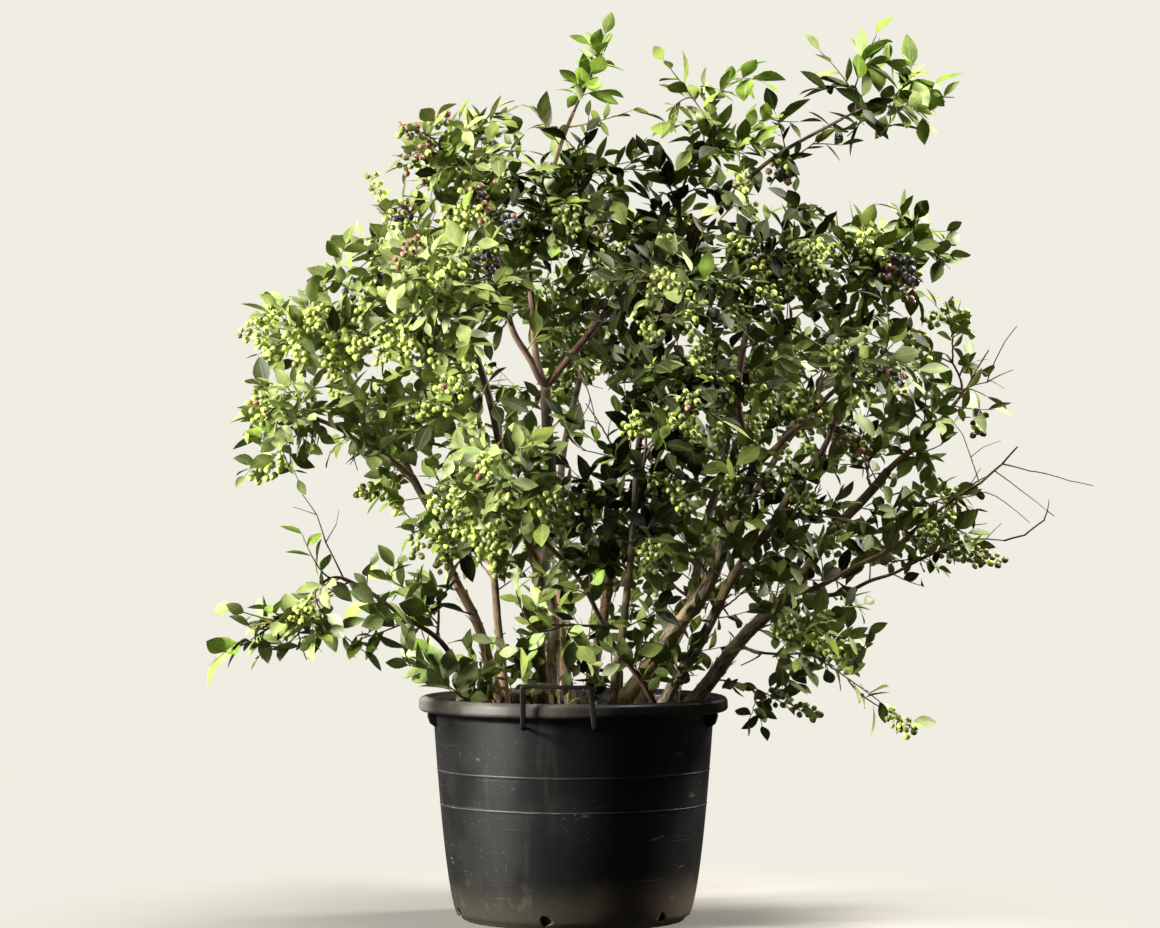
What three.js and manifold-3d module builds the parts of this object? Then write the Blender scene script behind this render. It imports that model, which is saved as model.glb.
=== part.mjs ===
// A highbush blueberry in a black nursery pot. Millimetres, +Z up.
// The origin is the middle of the pot's flat underside, and -Y is the front, where the near handle is.
import * as THREE from "three";
import { mergeVertices } from "three/addons/utils/BufferGeometryUtils.js";
import Module from "manifold-3d";

const wasm = await Module();
wasm.setup();

// ---------------------------------------------------------------- driving dimensions

const GAP = 0.35; // between pieces that touch
const RIM_RADIUS = 250;
const POT_HEIGHT = 360;
const BASE_RADIUS = 182;
const WALL_TOP_RADIUS = 227;
const WALL_TOP = 335; // where the wall runs under the rim
const WALL = 3.5;
const FLOOR = 5;
const SOIL_LEVEL = 335;
const ROUND_SIDES = 32;

const DRAIN = { count: 6, radius: 7, height: 15, firstAngle: -103 };
const HANDLE = { width: 117, bar: 7, depth: 5, foot: 318, top: 392, standOff: 3.5, tilt: -5 };

const FLARE = { share: 0.45, height: 35 }; // how much wider a stem is at its foot, and how soon that fades
const WAVE = { share: 0.011, turns: [9, 13], shift: 2.4 }; // how far a limb wanders, as a share of its length
const STEM_FACETS = { sides: 6, steps: 6 };
const BOUGH_FACETS = { sides: 5, steps: 5 };
const BURIED = 15; // how deep a stem's curve starts below the flat cut at its foot

// Twigs are three-sided. They swell from a slim start inside what carries them, and run out to a point.
// follow is how far a twig keeps to its first heading, and forks are the shares of it where others start.
const LEADER = { radius: 5.5, start: 0.55, swell: 1.6, steps: 3, follow: 0.4, forks: [0.27, 0.4, 0.6, 0.74, 0.86] };
const SHOOT = { radius: 4.5, start: 0.35, swell: 2, steps: 2, follow: 0.45, forks: [0.4, 0.64] };
const OUTER_FOLLOW = 0.3; // of the shoots that reach furthest
const FORK_TILT = 0.8; // how far a shoot leans away from its carrier
const TURNING = 1.6; // how much a joint that faces the wrong way counts against it

// A leaf stands for several, so it is larger than life.
const LEAF = { length: 126, width: 66, thickness: 4, sunk: 2, smallest: 0.85, tilt: 1.1, endTilt: 0.4 };
const BUDS = [0.76, 0.69, 0.62, 0.56, 0.44, 0.37, 0.3]; // shares of a shoot where leaves start, on each of its flats
const BERRY_RADIUS = 14; // one stands for a bunch

// A mass of this mean radius has so many shoots and leaves.
const TYPICAL = { radius: 115, shoots: 4, leaves: 13 };
const SHOOT_TRIES = 60;
const SHOOT_REACH = [0.75, 0.95]; // where shoots end, as shares of the way out to the ellipsoid
const LEAD_SHORT = 0.7; // the leading shoot stops so many leaf lengths short of the mass's lead
const LEAF_MARGIN = 36; // how far the tip of a leaf may stand out of its mass's ellipsoid
const LEAD_MARGIN = 50; // and how near to the mass's lead it may also end
const CLEAR_OF_LIMB = 3;
const CLEAR_OF_NEIGHBOUR = 2.5;
const CLEAR_OF_POT = { side: 25, above: 14, handle: 60, handleFrom: 200 };
const GRIP = 0.1; // mm3 that a twig, leaf or berry must share with what bears it

const COLOURS = {
  plastic: 0x17181a,
  soil: 0x2b211a,
  oldBark: 0x6b5442,
  youngBark: 0x5d4a33,
  foliage: 0x55762f,
};

// Stems rise from the soil. foot is [x, y] at soil level, via a point that the stem passes halfway up,
// tip its end, and radius its foot and tip radii without the root flare.
const STEMS = {
  stem_low_left: { foot: [-130, -40], via: [-220, -130, 455], tip: [-360, -210, 555], radius: [5, 3] },
  stem_left: { foot: [-110, 20], via: [-185, -10, 545], tip: [-260, -40, 715], radius: [8.5, 6] },
  stem_left_upright: { foot: [-110, 90], via: [-130, 110, 525], tip: [-145, 130, 690], radius: [7, 5.5] },
  stem_peeling: { foot: [-45, -20], via: [-75, -70, 605], tip: [-165, -190, 940], radius: [9.5, 5] },
  stem_fork: { foot: [-35, 40], via: [-40, 40, 600], tip: [-45, 30, 860], radius: [11, 8.5] },
  stem_centre: { foot: [25, 75], via: [65, 140, 650], tip: [125, 200, 990], radius: [9.5, 5] },
  stem_leaning: { foot: [45, -30], via: [195, -60, 515], tip: [290, -80, 730], radius: [13, 9] },
  stem_leaning_twin: { foot: [100, 40], via: [200, 90, 555], tip: [255, 150, 790], radius: [11, 6] },
  stem_mid_right: { foot: [130, -60], via: [270, -120, 575], tip: [390, -160, 750], radius: [9, 6] },
  stem_far_right: { foot: [168, 0], via: [345, 0, 530], tip: [510, 0, 725], radius: [12, 7] },
  stem_crossing: { foot: [145, -110], via: [25, -180, 520], tip: [-120, -230, 710], radius: [4.5, 3] },
  stem_front: { foot: [60, -130], via: [88, -250, 600], tip: [125, -270, 930], radius: [7, 4] },
  stem_back: { foot: [0, 130], via: [-25, 290, 605], tip: [10, 370, 880], radius: [9, 5] },
  stem_back_right: { foot: [110, 125], via: [235, 270, 575], tip: [380, 340, 795], radius: [9, 5] },
};

// A bough leaves its parent at its tip, or at the share `at` of the parent's length.
const BOUGHS = {
  bough_left_low: { on: "stem_left", via: [-330, -80, 765], tip: [-415, -95, 810], radius: [5, 3] },
  bough_left_mid: { on: "stem_left", via: [-300, -5, 780], tip: [-380, 30, 885], radius: [5, 3] },
  bough_left_upper: { on: "stem_left_upright", via: [-165, 160, 835], tip: [-235, 200, 1000], radius: [5, 3] },
  bough_fork_left: { on: "stem_fork", via: [-95, 0, 955], tip: [-145, -30, 1125], radius: [6, 3.5] },
  bough_fork_middle: { on: "stem_fork", via: [-70, 70, 1065], tip: [0, 110, 1315], radius: [6, 3] },
  bough_fork_right: { on: "stem_fork", via: [180, 40, 1115], tip: [440, 60, 1300], radius: [6.5, 2.5] },
  bough_mast: { on: "stem_leaning", via: [265, -95, 860], tip: [295, -120, 1045], radius: [7.5, 4] },
  bough_right_fork: { on: "stem_leaning", via: [350, -150, 790], tip: [420, -230, 860], radius: [5.5, 3.5] },
  bough_right_upper: { on: "stem_mid_right", via: [440, -130, 875], tip: [470, -110, 1030], radius: [5, 3] },
  bough_right_tip: { on: "stem_far_right", via: [570, 10, 780], tip: [625, 20, 840], radius: [5.5, 3] },
  bough_right_level: { on: "stem_far_right", at: 0.5, via: [475, -60, 580], tip: [595, -90, 670], radius: [4.5, 2.5] },
  bough_right_low: { on: "stem_far_right", at: 0.46, via: [450, 60, 530], tip: [545, 90, 565], radius: [4.5, 2.5] },
};

// A mass of foliage grows from its limb's tip, or at the share `at` of the limb's length. It fills an ellipsoid
// of those radii round its centre, and reaches its lead. bare lists the tips of twigs without leaves.
const MASSES = {
  low_left: {
    on: "stem_low_left", centre: [-410, -220, 480], radii: [135, 110, 90],
    lead: [-540, -230, 480], bare: [[-415, -215, 665]],
  },
  low_left_inner: {
    on: "stem_low_left", at: 0.5, centre: [-225, -105, 515], radii: [115, 100, 85],
    lead: [-175, -120, 550],
  },
  left_tip: {
    on: "bough_left_low", centre: [-450, -110, 825], radii: [100, 110, 90],
    lead: [-540, -115, 820], berries: 1,
  },
  left_shoulder: {
    on: "bough_left_mid", centre: [-405, 45, 955], radii: [145, 140, 95],
    lead: [-505, 50, 935], berries: 2,
  },
  left_upper: {
    on: "bough_left_upper", centre: [-270, 215, 1075], radii: [140, 155, 110],
    lead: [-345, 230, 1155], berries: 1,
  },
  left_front: {
    on: "stem_peeling", centre: [-210, -215, 990], radii: [140, 150, 120],
    lead: [-285, -240, 1050], berries: 1,
  },
  crown_left: {
    on: "bough_fork_left", centre: [-168, -40, 1218], radii: [140, 150, 105],
    lead: [-262, -40, 1262], berries: 1,
  },
  crown_middle: {
    on: "bough_fork_middle", at: 0.62, centre: [-20, 20, 1155], radii: [120, 160, 120],
    lead: [25, -60, 1225],
  },
  top_shoot: {
    on: "bough_fork_middle", centre: [45, 110, 1395], radii: [60, 80, 100],
    lead: [55, 110, 1478],
  },
  top_middle: {
    on: "bough_fork_right", at: 0.52, centre: [245, 80, 1265], radii: [150, 130, 120],
    lead: [205, 90, 1385],
  },
  top_right: {
    on: "bough_fork_right", centre: [505, 70, 1335], radii: [140, 110, 95],
    lead: [625, 75, 1365],
  },
  mast_top: {
    on: "bough_mast", centre: [330, -125, 1070], radii: [140, 145, 115],
    lead: [360, -150, 1200], berries: 2,
  },
  right_upper: {
    on: "bough_right_upper", centre: [480, -95, 1065], radii: [150, 115, 95],
    lead: [625, -90, 1095], berries: 1,
  },
  right_front: {
    on: "bough_right_fork", centre: [450, -255, 890], radii: [130, 135, 120],
    lead: [525, -275, 940],
  },
  right_tip: {
    on: "bough_right_tip", centre: [590, 25, 915], radii: [105, 110, 110],
    lead: [675, 28, 905], bare: [[722, 30, 955], [712, 10, 890]],
  },
  right_middle: {
    on: "stem_far_right", at: 0.93, centre: [500, 60, 790], radii: [120, 130, 105],
    lead: [565, 110, 850],
  },
  right_level: {
    on: "bough_right_level", centre: [625, -100, 690], radii: [150, 80, 70],
    lead: [695, -100, 738], bare: [[830, -100, 700], [765, -110, 655]], berries: 1,
  },
  right_low: {
    on: "bough_right_low", centre: [575, 95, 600], radii: [120, 100, 70],
    lead: [690, 100, 580], berries: 1,
  },
  droop: {
    on: "stem_far_right", at: 0.3, centre: [375, -135, 465], radii: [145, 110, 100],
    lead: [510, -150, 335], berries: 1,
  },
  centre_back: {
    on: "stem_centre", centre: [135, 235, 1085], radii: [150, 165, 130],
    lead: [130, 260, 1195],
  },
  centre_right: {
    on: "stem_leaning_twin", centre: [290, 190, 865], radii: [140, 165, 135],
    lead: [310, 220, 960],
  },
  back_left: {
    on: "stem_back", centre: [-25, 400, 965], radii: [170, 160, 150],
    lead: [-110, 430, 1070], berries: 1,
  },
  back_right: {
    on: "stem_back_right", centre: [415, 375, 880], radii: [155, 155, 140],
    lead: [475, 400, 965], berries: 1,
  },
  low_back: {
    on: "stem_back_right", at: 0.4, centre: [130, 240, 600], radii: [135, 135, 105],
    lead: [60, 280, 640],
  },
  front_left: {
    on: "stem_crossing", centre: [-95, -285, 705], radii: [130, 120, 120],
    lead: [-170, -320, 770], berries: 1,
  },
  front_middle: {
    on: "stem_front", at: 0.66, centre: [120, -330, 830], radii: [150, 130, 135],
    lead: [80, -370, 925], berries: 1,
  },
  front_upper: {
    on: "stem_front", centre: [165, -250, 990], radii: [155, 150, 130],
    lead: [100, -290, 1080], berries: 2,
  },
  left_inner: {
    on: "stem_left", at: 0.8, centre: [-185, -125, 665], radii: [120, 100, 115],
    lead: [-205, -175, 740], berries: 1,
  },
  low_front: {
    on: "stem_front", at: 0.28, centre: [-15, -235, 490], radii: [145, 95, 100],
    lead: [-115, -260, 460],
  },
  right_inner: {
    on: "stem_mid_right", at: 0.62, centre: [360, -110, 680], radii: [110, 125, 100],
    lead: [425, -130, 710],
  },
};

// ---------------------------------------------------------------- solids

const vector = (p) => new THREE.Vector3(...p);
const radians = THREE.MathUtils.degToRad;

function toSolid(geometry) {
  const bare = geometry.clone();
  for (const name of ["normal", "uv"]) bare.deleteAttribute(name);
  const merged = mergeVertices(bare, 1e-3);
  return new wasm.Manifold(
    new wasm.Mesh({
      numProp: 3,
      vertProperties: merged.attributes.position.array,
      triVerts: new Uint32Array(merged.index.array),
    }),
  );
}

function toGeometry(solid) {
  const { numProp, numVert, vertProperties, triVerts } = solid.getMesh();
  const position = new Float32Array(numVert * 3);
  for (let i = 0; i < numVert; i++) {
    position.set(vertProperties.subarray(i * numProp, i * numProp + 3), i * 3);
  }
  const geometry = new THREE.BufferGeometry();
  geometry.setAttribute("position", new THREE.BufferAttribute(position, 3));
  geometry.setIndex(new THREE.BufferAttribute(new Uint32Array(triVerts), 1));
  return geometry;
}

// The largest body of a solid: loose scraps, sealed hollows and what hangs on by a hair are left behind.
function wholePiece(solid) {
  const bodies = toSolid(toGeometry(solid)).decompose();
  return bodies.reduce((best, body) => (body.volume() > best.volume() ? body : best));
}

const group = new THREE.Group();

function addNode(name, geometry, color, roughness = 0.8) {
  geometry.computeVertexNormals();
  const mesh = new THREE.Mesh(geometry, new THREE.MeshStandardMaterial({ color, roughness, metalness: 0 }));
  mesh.name = name;
  group.add(mesh);
}

// ---------------------------------------------------------------- pot

// The wall bellies out from the base: its radius grows with the square root of the height.
const wallRadius = (z) => BASE_RADIUS + (WALL_TOP_RADIUS - BASE_RADIUS) * Math.sqrt(Math.max(z, 0) / WALL_TOP);

const WALL_LEVELS = [20, 80, 180];

// A closed solid of revolution round Z. The profile is [radius, height] pairs and ends on the axis at both ends.
function turned(profile) {
  const lathe = new THREE.LatheGeometry(profile.map(([r, z]) => new THREE.Vector2(r, z)), ROUND_SIDES);
  return toSolid(lathe.rotateX(Math.PI / 2));
}

function potSolid() {
  const outside = WALL_LEVELS.map((z) => [wallRadius(z), z]);
  const inside = WALL_LEVELS.map((z) => [wallRadius(z) - WALL, z + FLOOR]).reverse();
  const shell = turned([
    [0, 0],
    [BASE_RADIUS, 0],
    ...outside,
    [WALL_TOP_RADIUS, WALL_TOP],
    [RIM_RADIUS - 4, WALL_TOP - 1],
    [RIM_RADIUS, WALL_TOP + 4],
    [RIM_RADIUS - 2, POT_HEIGHT - 8],
    [RIM_RADIUS - 12, POT_HEIGHT],
    [RIM_RADIUS - 20, POT_HEIGHT - 3],
    [WALL_TOP_RADIUS - WALL, WALL_TOP],
    ...inside,
    [BASE_RADIUS - WALL, FLOOR],
    [0, FLOOR],
  ]);
  const drains = [];
  for (let i = 0; i < DRAIN.count; i++) {
    const angle = radians(DRAIN.firstAngle + (360 / DRAIN.count) * i);
    const drain = new THREE.CylinderGeometry(DRAIN.radius, DRAIN.radius, 40, 8);
    drain.translate(0, BASE_RADIUS, 0).rotateZ(angle - Math.PI / 2).translate(0, 0, DRAIN.height);
    drains.push(toSolid(drain));
  }
  return wholePiece(shell.subtract(wasm.Manifold.union(drains)));
}

// The soil fills the pot up to a flat top.
function soilSolid() {
  const fit = WALL + GAP + 0.6; // the flat sides of a coarse ring cut corners, so the soil is a little slimmer
  return turned([
    [0, FLOOR + GAP],
    [BASE_RADIUS - fit - 1, FLOOR + GAP],
    ...WALL_LEVELS.map((z) => [wallRadius(z) - fit, z + FLOOR]),
    [WALL_TOP_RADIUS - fit, SOIL_LEVEL],
    [0, SOIL_LEVEL],
  ]);
}

// A bail of flat bar: a top bar, two legs outside the rim, and two feet that reach in to the wall.
function handleSolid(turn) {
  const { width, bar, depth, foot, top, standOff } = HANDLE;
  const face = RIM_RADIUS + standOff + depth / 2;
  const half = (width - bar) / 2;
  const wall = BASE_RADIUS; // the feet are made too long, and end at the wall's own flats
  const parts = [new THREE.BoxGeometry(width, depth, bar).translate(0, -face, top - bar / 2)];
  for (const side of [-1, 1]) {
    parts.push(new THREE.BoxGeometry(bar, depth, top - foot).translate(side * half, -face, (top + foot) / 2));
    parts.push(
      new THREE.BoxGeometry(bar, face - wall, bar).translate(side * half, -(face + wall) / 2, foot + bar / 2),
    );
  }
  const bail = wasm.Manifold.union(parts.map((part) => toSolid(part.rotateZ(radians(turn)))));
  const clearance = turned([
    [0, 0],
    [BASE_RADIUS + GAP, 0],
    ...WALL_LEVELS.map((z) => [wallRadius(z) + GAP, z]),
    [WALL_TOP_RADIUS + GAP, WALL_TOP],
    [0, WALL_TOP],
  ]);
  return wholePiece(bail.subtract(clearance));
}

// ---------------------------------------------------------------- stems and boughs

// A limb bows from its foot through `via` to its tip, on a parabola, and wanders a little to both sides of it.
class LimbCurve extends THREE.Curve {
  constructor(foot, via, tip, order) {
    super();
    this.foot = foot;
    this.tip = tip;
    this.control = via.clone().multiplyScalar(2).addScaledVector(foot, -0.5).addScaledVector(tip, -0.5);
    const along = tip.clone().sub(foot);
    this.reach = along.length() * WAVE.share;
    this.side = along.cross(new THREE.Vector3(0, 0, 1)).normalize();
    this.rise = this.side.clone().cross(tip.clone().sub(foot)).normalize();
    this.phase = order * WAVE.shift;
  }

  getPoint(t, target = new THREE.Vector3()) {
    const sway = this.reach * Math.sin(Math.PI * t);
    return target
      .set(0, 0, 0)
      .addScaledVector(this.foot, (1 - t) ** 2)
      .addScaledVector(this.control, 2 * t * (1 - t))
      .addScaledVector(this.tip, t * t)
      .addScaledVector(this.side, sway * Math.sin(WAVE.turns[0] * t + this.phase))
      .addScaledVector(this.rise, sway * Math.cos(WAVE.turns[1] * t + this.phase));
  }
}

// Bends a unit cylinder or cone along a curve, with a radius for each share of its length.
// `longer` lets both ends stand out past the curve.
function bendAlong(unit, curve, steps, radiusAt, longer = 0) {
  const { tangents, normals, binormals } = curve.computeFrenetFrames(steps, false);
  const position = unit.attributes.position;
  const point = new THREE.Vector3();
  for (let i = 0; i < position.count; i++) {
    const share = position.getY(i) + 0.5;
    const ring = Math.round(share * steps);
    const radius = radiusAt(share);
    curve
      .getPointAt(share, point)
      .addScaledVector(binormals[ring], position.getX(i) * radius)
      .addScaledVector(normals[ring], position.getZ(i) * radius)
      .addScaledVector(tangents[ring], ring === 0 ? -longer : ring === steps ? longer : 0);
    position.setXYZ(i, point.x, point.y, point.z);
  }
  return unit;
}

function limbSolid(limb, grow = 0) {
  const { curve, radius, sides, steps, rooted } = limb;
  const length = curve.getLength();
  const radiusAt = (share) => {
    const flare = rooted ? FLARE.share * radius[0] * Math.exp((-share * length) / FLARE.height) : 0;
    return THREE.MathUtils.lerp(radius[0], radius[1], share) + flare + grow;
  };
  return toSolid(bendAlong(new THREE.CylinderGeometry(1, 1, 1, sides, steps), curve, steps, radiusAt, grow));
}

const limbs = {};

function makeStem(name, { foot, via, tip, radius }) {
  const buried = vector([...foot, SOIL_LEVEL - BURIED]);
  const curve = new LimbCurve(buried, vector(via), vector(tip), Object.keys(limbs).length);
  limbs[name] = { curve, radius, ...STEM_FACETS, rooted: true };
  return limbSolid(limbs[name]).trimByPlane([0, 0, 1], SOIL_LEVEL + GAP);
}

// A bough grows out of its parent's middle, and the parent and its earlier boughs are cut clear of it.
function makeBough(name, { on, at = 1, via, tip, radius }) {
  const foot = limbs[on].curve.getPointAt(at);
  const curve = new LimbCurve(foot, vector(via), vector(tip), Object.keys(limbs).length);
  const others = [on, ...Object.keys(BOUGHS).filter((other) => limbs[other] && BOUGHS[other].on === on)];
  limbs[name] = { curve, radius, ...BOUGH_FACETS, rooted: false };
  const grown = others.map((other) => limbSolid(limbs[other], GAP));
  return wholePiece(limbSolid(limbs[name]).subtract(wasm.Manifold.union(grown)));
}

// ---------------------------------------------------------------- the space of a mass

function clearOfPot({ x, y, z }) {
  const { side, above, handle, handleFrom } = CLEAR_OF_POT;
  return Math.hypot(x, y) > RIM_RADIUS + side || z > POT_HEIGHT + (Math.abs(y) > handleFrom ? handle : above);
}

const meanRadius = ({ radii }) => (radii[0] + radii[1] + radii[2]) / 3;

// Between any two masses runs a plane, nearer to the smaller one, that neither of them crosses.
function inOwnCell(point, mass) {
  const power = (other) => point.distanceToSquared(vector(other.centre)) - meanRadius(other) ** 2;
  const own = power(mass);
  return Object.values(MASSES).every((other) => {
    if (other === mass) return true;
    const apart = vector(other.centre).distanceTo(vector(mass.centre));
    return power(other) - own > 2 * CLEAR_OF_NEIGHBOUR * apart;
  });
}

function inEllipsoid(point, { centre, radii }, margin = 0) {
  const offset = [point.x, point.y, point.z].map((value, i) => (value - centre[i]) / (radii[i] + margin));
  return Math.hypot(...offset) <= 1;
}

// ---------------------------------------------------------------- twigs, leaves and berries

// Three numbers from 0 to 1 that fill a cube evenly as k counts up: multiples of powers of 1/1.2207, wrapped.
const SPREAD = [1, 2, 3].map((power) => 1.2207440846 ** -power);
const even = (k, seed) => SPREAD.map((step, i) => (((seed * (i + 1) * 0.137 + k * step) % 1) + 1) % 1);

// The k-th shoot of a mass ends at this point: evenly spread, and rather near the outside.
function shootTip(k, seed, { centre, radii }) {
  const [u, v, w] = even(k, seed);
  const height = 2 * u - 1;
  const turn = 2 * Math.PI * v;
  const share = THREE.MathUtils.lerp(...SHOOT_REACH, w);
  const ring = Math.sqrt(1 - height * height);
  return new THREE.Vector3(
    centre[0] + radii[0] * share * ring * Math.cos(turn),
    centre[1] + radii[1] * share * ring * Math.sin(turn),
    centre[2] + radii[2] * share * height,
  );
}

// A twig leaves along its parent, then bends over to its tip.
function twigCurve(start, heading, tip, follow) {
  const bend = start.clone().addScaledVector(heading, follow * start.distanceTo(tip));
  return new THREE.QuadraticBezierCurve3(start, bend, tip);
}

function makeTwig(curve, { radius, start, swell, steps }) {
  const radiusAt = (share) => radius * (start + swell * share);
  const solid = toSolid(bendAlong(new THREE.CylinderGeometry(0, 1, 1, 3, steps), curve, steps, radiusAt));
  return { solid, rings: curve.getSpacedPoints(steps), frames: curve.computeFrenetFrames(steps, false) };
}

const FLATS = [0, 1, 2];

// Where a twig's middle line is at a share of its length, the way it runs there, and the way out of one of its flats.
function alongTwig({ rings, frames }, share, flat = 0) {
  const at = share * (rings.length - 1);
  const ring = Math.min(Math.floor(at), rings.length - 2);
  const mix = (list) => list[ring].clone().lerp(list[ring + 1], at - ring);
  const angle = (Math.PI / 3) * (2 * flat + 1);
  const outward = mix(frames.binormals).multiplyScalar(Math.sin(angle));
  outward.addScaledVector(mix(frames.normals), Math.cos(angle)).normalize();
  return { point: mix(rings), heading: rings[ring + 1].clone().sub(rings[ring]).normalize(), outward };
}

// The middle, the tip and the two side corners of a leaf, for testing that it stays in its space.
function leafPoints(base, along, side, length, width) {
  const middle = base.clone().addScaledVector(along, length / 2);
  const sides = [-0.5, 0.5].map((share) => middle.clone().addScaledVector(side, share * width));
  return [middle, base.clone().addScaledVector(along, length), ...sides];
}

// A leaf is a thin tetrahedron: one edge is its raised rib, and the opposite one spans its breadth. It grows out of
// one of its twig's three flat sides, leans away from the twig by `tilt`, and is turned round its rib by `roll`.
function makeLeaf(twig, share, flat, { tilt, size, roll }, inCell, inSpace, inReach) {
  const { point: base, heading, outward } = alongTwig(twig, share, flat);
  const along = heading.addScaledVector(outward, tilt).normalize();
  const up = new THREE.Vector3().crossVectors(outward, along).normalize().applyAxisAngle(along, roll);
  const side = along.clone().cross(up);
  const [length, width] = [LEAF.length * size, LEAF.width * size];
  const points = leafPoints(base, along, side, length, width);
  if (!inSpace(points[0]) || !inReach(points[1]) || !points.every(inCell)) return null;
  const [corner, height] = [Math.sqrt(2 / 3), Math.sqrt(1 / 3)]; // where a unit tetrahedron's corners are
  const blade = new THREE.TetrahedronGeometry(1)
    .rotateZ(Math.PI / 4)
    .scale(width / 2 / corner, length / 2 / corner, LEAF.thickness / 2 / height)
    .translate(0, length / 2 - LEAF.sunk, 0)
    .applyMatrix4(new THREE.Matrix4().makeBasis(side, along, up).setPosition(base));
  return { solid: toSolid(blade), middle: points[0] };
}

// The berry that stands for a bunch is threaded on the end of its twig.
function makeBerry(twig, inSpace) {
  const { point, heading, outward } = alongTwig(twig, 0.9);
  point.addScaledVector(outward, 0.3 * BERRY_RADIUS);
  const reach = point.clone().addScaledVector(heading, 1.5 * BERRY_RADIUS);
  return inSpace(reach) ? toSolid(new THREE.IcosahedronGeometry(BERRY_RADIUS).translate(...point)) : null;
}

function withBox(solid) {
  const { min, max } = solid.boundingBox();
  return { solid, box: new THREE.Box3(vector(min), vector(max)) };
}

// Where a mass meets its limb, and the way it leaves it: at the limb's tip straight on, and elsewhere out of its side,
// where the limb is cut clear of it.
function seatOf({ on, at = 1, centre }) {
  const seat = limbs[on].curve.getPointAt(at);
  const heading = limbs[on].curve.getTangentAt(at);
  if (at === 1) return { seat: seat.addScaledVector(heading, GAP), heading };
  const out = vector(centre).sub(seat);
  return { seat, heading: out.addScaledVector(heading, -out.dot(heading)).normalize() };
}

// The leading twig runs from the limb through the middle of the mass towards its lead. Every other shoot starts at
// the nearest twig that faces its way, so the twigs branch as they spread. Leaves stand round each shoot in turn.
function massSolid(mass, seed, room) {
  const { seat, heading } = seatOf(mass);
  const [centre, lead] = [vector(mass.centre), vector(mass.lead)];
  const own = (point) => inOwnCell(point, mass) && clearOfPot(point);
  const allowed = (point) => own(point) && inEllipsoid(point, mass);
  const inReach = (tip) => inEllipsoid(tip, mass, LEAF_MARGIN) || tip.distanceTo(lead) < LEAD_MARGIN;
  const placed = [];
  const bearingLimb = room[mass.on];
  let joints = []; // where a new shoot may start, one at each share of a twig

  // Adds a solid, unless it has too little hold on its bearer, or runs into a limb or anything else of the mass.
  const place = (piece, bearer) => {
    if (bearer.solid.intersect(piece.solid).volume() < GRIP) return null;
    const item = Object.assign(withBox(piece.solid), piece);
    const others = [...Object.values(room), ...placed].filter((other) => other !== bearer);
    const near = others.filter((other) => other.box.intersectsBox(item.box));
    if (near.some((other) => !other.solid.intersect(item.solid).isEmpty())) return null;
    placed.push(item);
    return item;
  };

  const addTwig = (curve, form, bearer) => {
    const twig = place(makeTwig(curve, form), bearer);
    for (const share of twig ? form.forks : []) {
      for (const flat of FLATS) {
        const { point, heading, outward } = alongTwig(twig, share, flat);
        joints.push({ point, heading: heading.addScaledVector(outward, FORK_TILT).normalize(), twig, share });
      }
    }
    return twig;
  };

  // A shoot is left out if it would leave the mass's space.
  const addShoot = (target, test, follow) => {
    const cost = (joint) => {
      const way = target.clone().sub(joint.point);
      return way.length() * (TURNING - way.normalize().dot(joint.heading));
    };
    const from = joints.reduce((best, joint) => (cost(joint) < cost(best) ? joint : best));
    const curve = twigCurve(from.point, from.heading, target, follow);
    if (!curve.getSpacedPoints(8).slice(1).every(test)) return null;
    const shoot = addTwig(curve, SHOOT, from.twig);
    if (shoot) joints = joints.filter(({ twig, share }) => twig !== from.twig || share !== from.share);
    return shoot;
  };

  const leader = addTwig(twigCurve(seat, heading, centre.clone().lerp(lead, 0.2), LEADER.follow), LEADER, bearingLimb);
  for (const tip of mass.bare ?? []) addShoot(vector(tip), own, OUTER_FOLLOW);
  const leadStop = lead.clone().add(centre.clone().sub(lead).setLength(LEAD_SHORT * LEAF.length));
  const shoots = [addShoot(leadStop, own, OUTER_FOLLOW)].filter(Boolean);
  const scale = (meanRadius(mass) / TYPICAL.radius) ** 1.5;
  for (let k = 0; k < SHOOT_TRIES && shoots.length < Math.round(TYPICAL.shoots * scale); k++) {
    const target = shootTip(k, seed, mass);
    const shoot = allowed(target) && addShoot(target, allowed, SHOOT.follow);
    if (shoot) shoots.push(shoot);
  }

  let berries = 0;
  for (const shoot of shoots.slice(1)) {
    const solid = berries < (mass.berries ?? 0) && makeBerry(shoot, allowed);
    if (solid && place({ solid }, shoot)) berries++;
  }

  // Leaves could stand on each flat of each shoot. One after another, the one farthest from those so far is taken.
  const buds = [];
  [...shoots, leader].forEach((shoot, i) => {
    const test = i === 0 ? own : allowed;
    BUDS.forEach((share, row) => {
      for (const flat of FLATS) {
        const [u, v] = even((i * BUDS.length + row) * FLATS.length + flat, seed);
        const size = THREE.MathUtils.lerp(LEAF.smallest, 1, u);
        const stance = { tilt: row === 0 ? LEAF.endTilt : LEAF.tilt, size, roll: Math.PI * v };
        const leaf = makeLeaf(shoot, share, flat, stance, own, test, inReach);
        if (leaf) buds.push({ ...leaf, shoot, apart: leaf.middle.distanceTo(centre) });
      }
    });
  });
  let leaves = 0;
  while (buds.length && leaves < TYPICAL.leaves * scale) {
    const bud = buds.reduce((best, other) => (other.apart > best.apart ? other : best));
    buds.splice(buds.indexOf(bud), 1);
    if (!place({ solid: bud.solid }, bud.shoot)) continue;
    leaves++;
    for (const other of buds) other.apart = Math.min(other.apart, other.middle.distanceTo(bud.middle));
  }
  const grown = wasm.Manifold.union(placed.map((item) => item.solid));
  return wholePiece(mass.at === undefined ? grown : grown.subtract(limbSolid(limbs[mass.on], GAP)));
}

// ---------------------------------------------------------------- the whole plant in its pot

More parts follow.
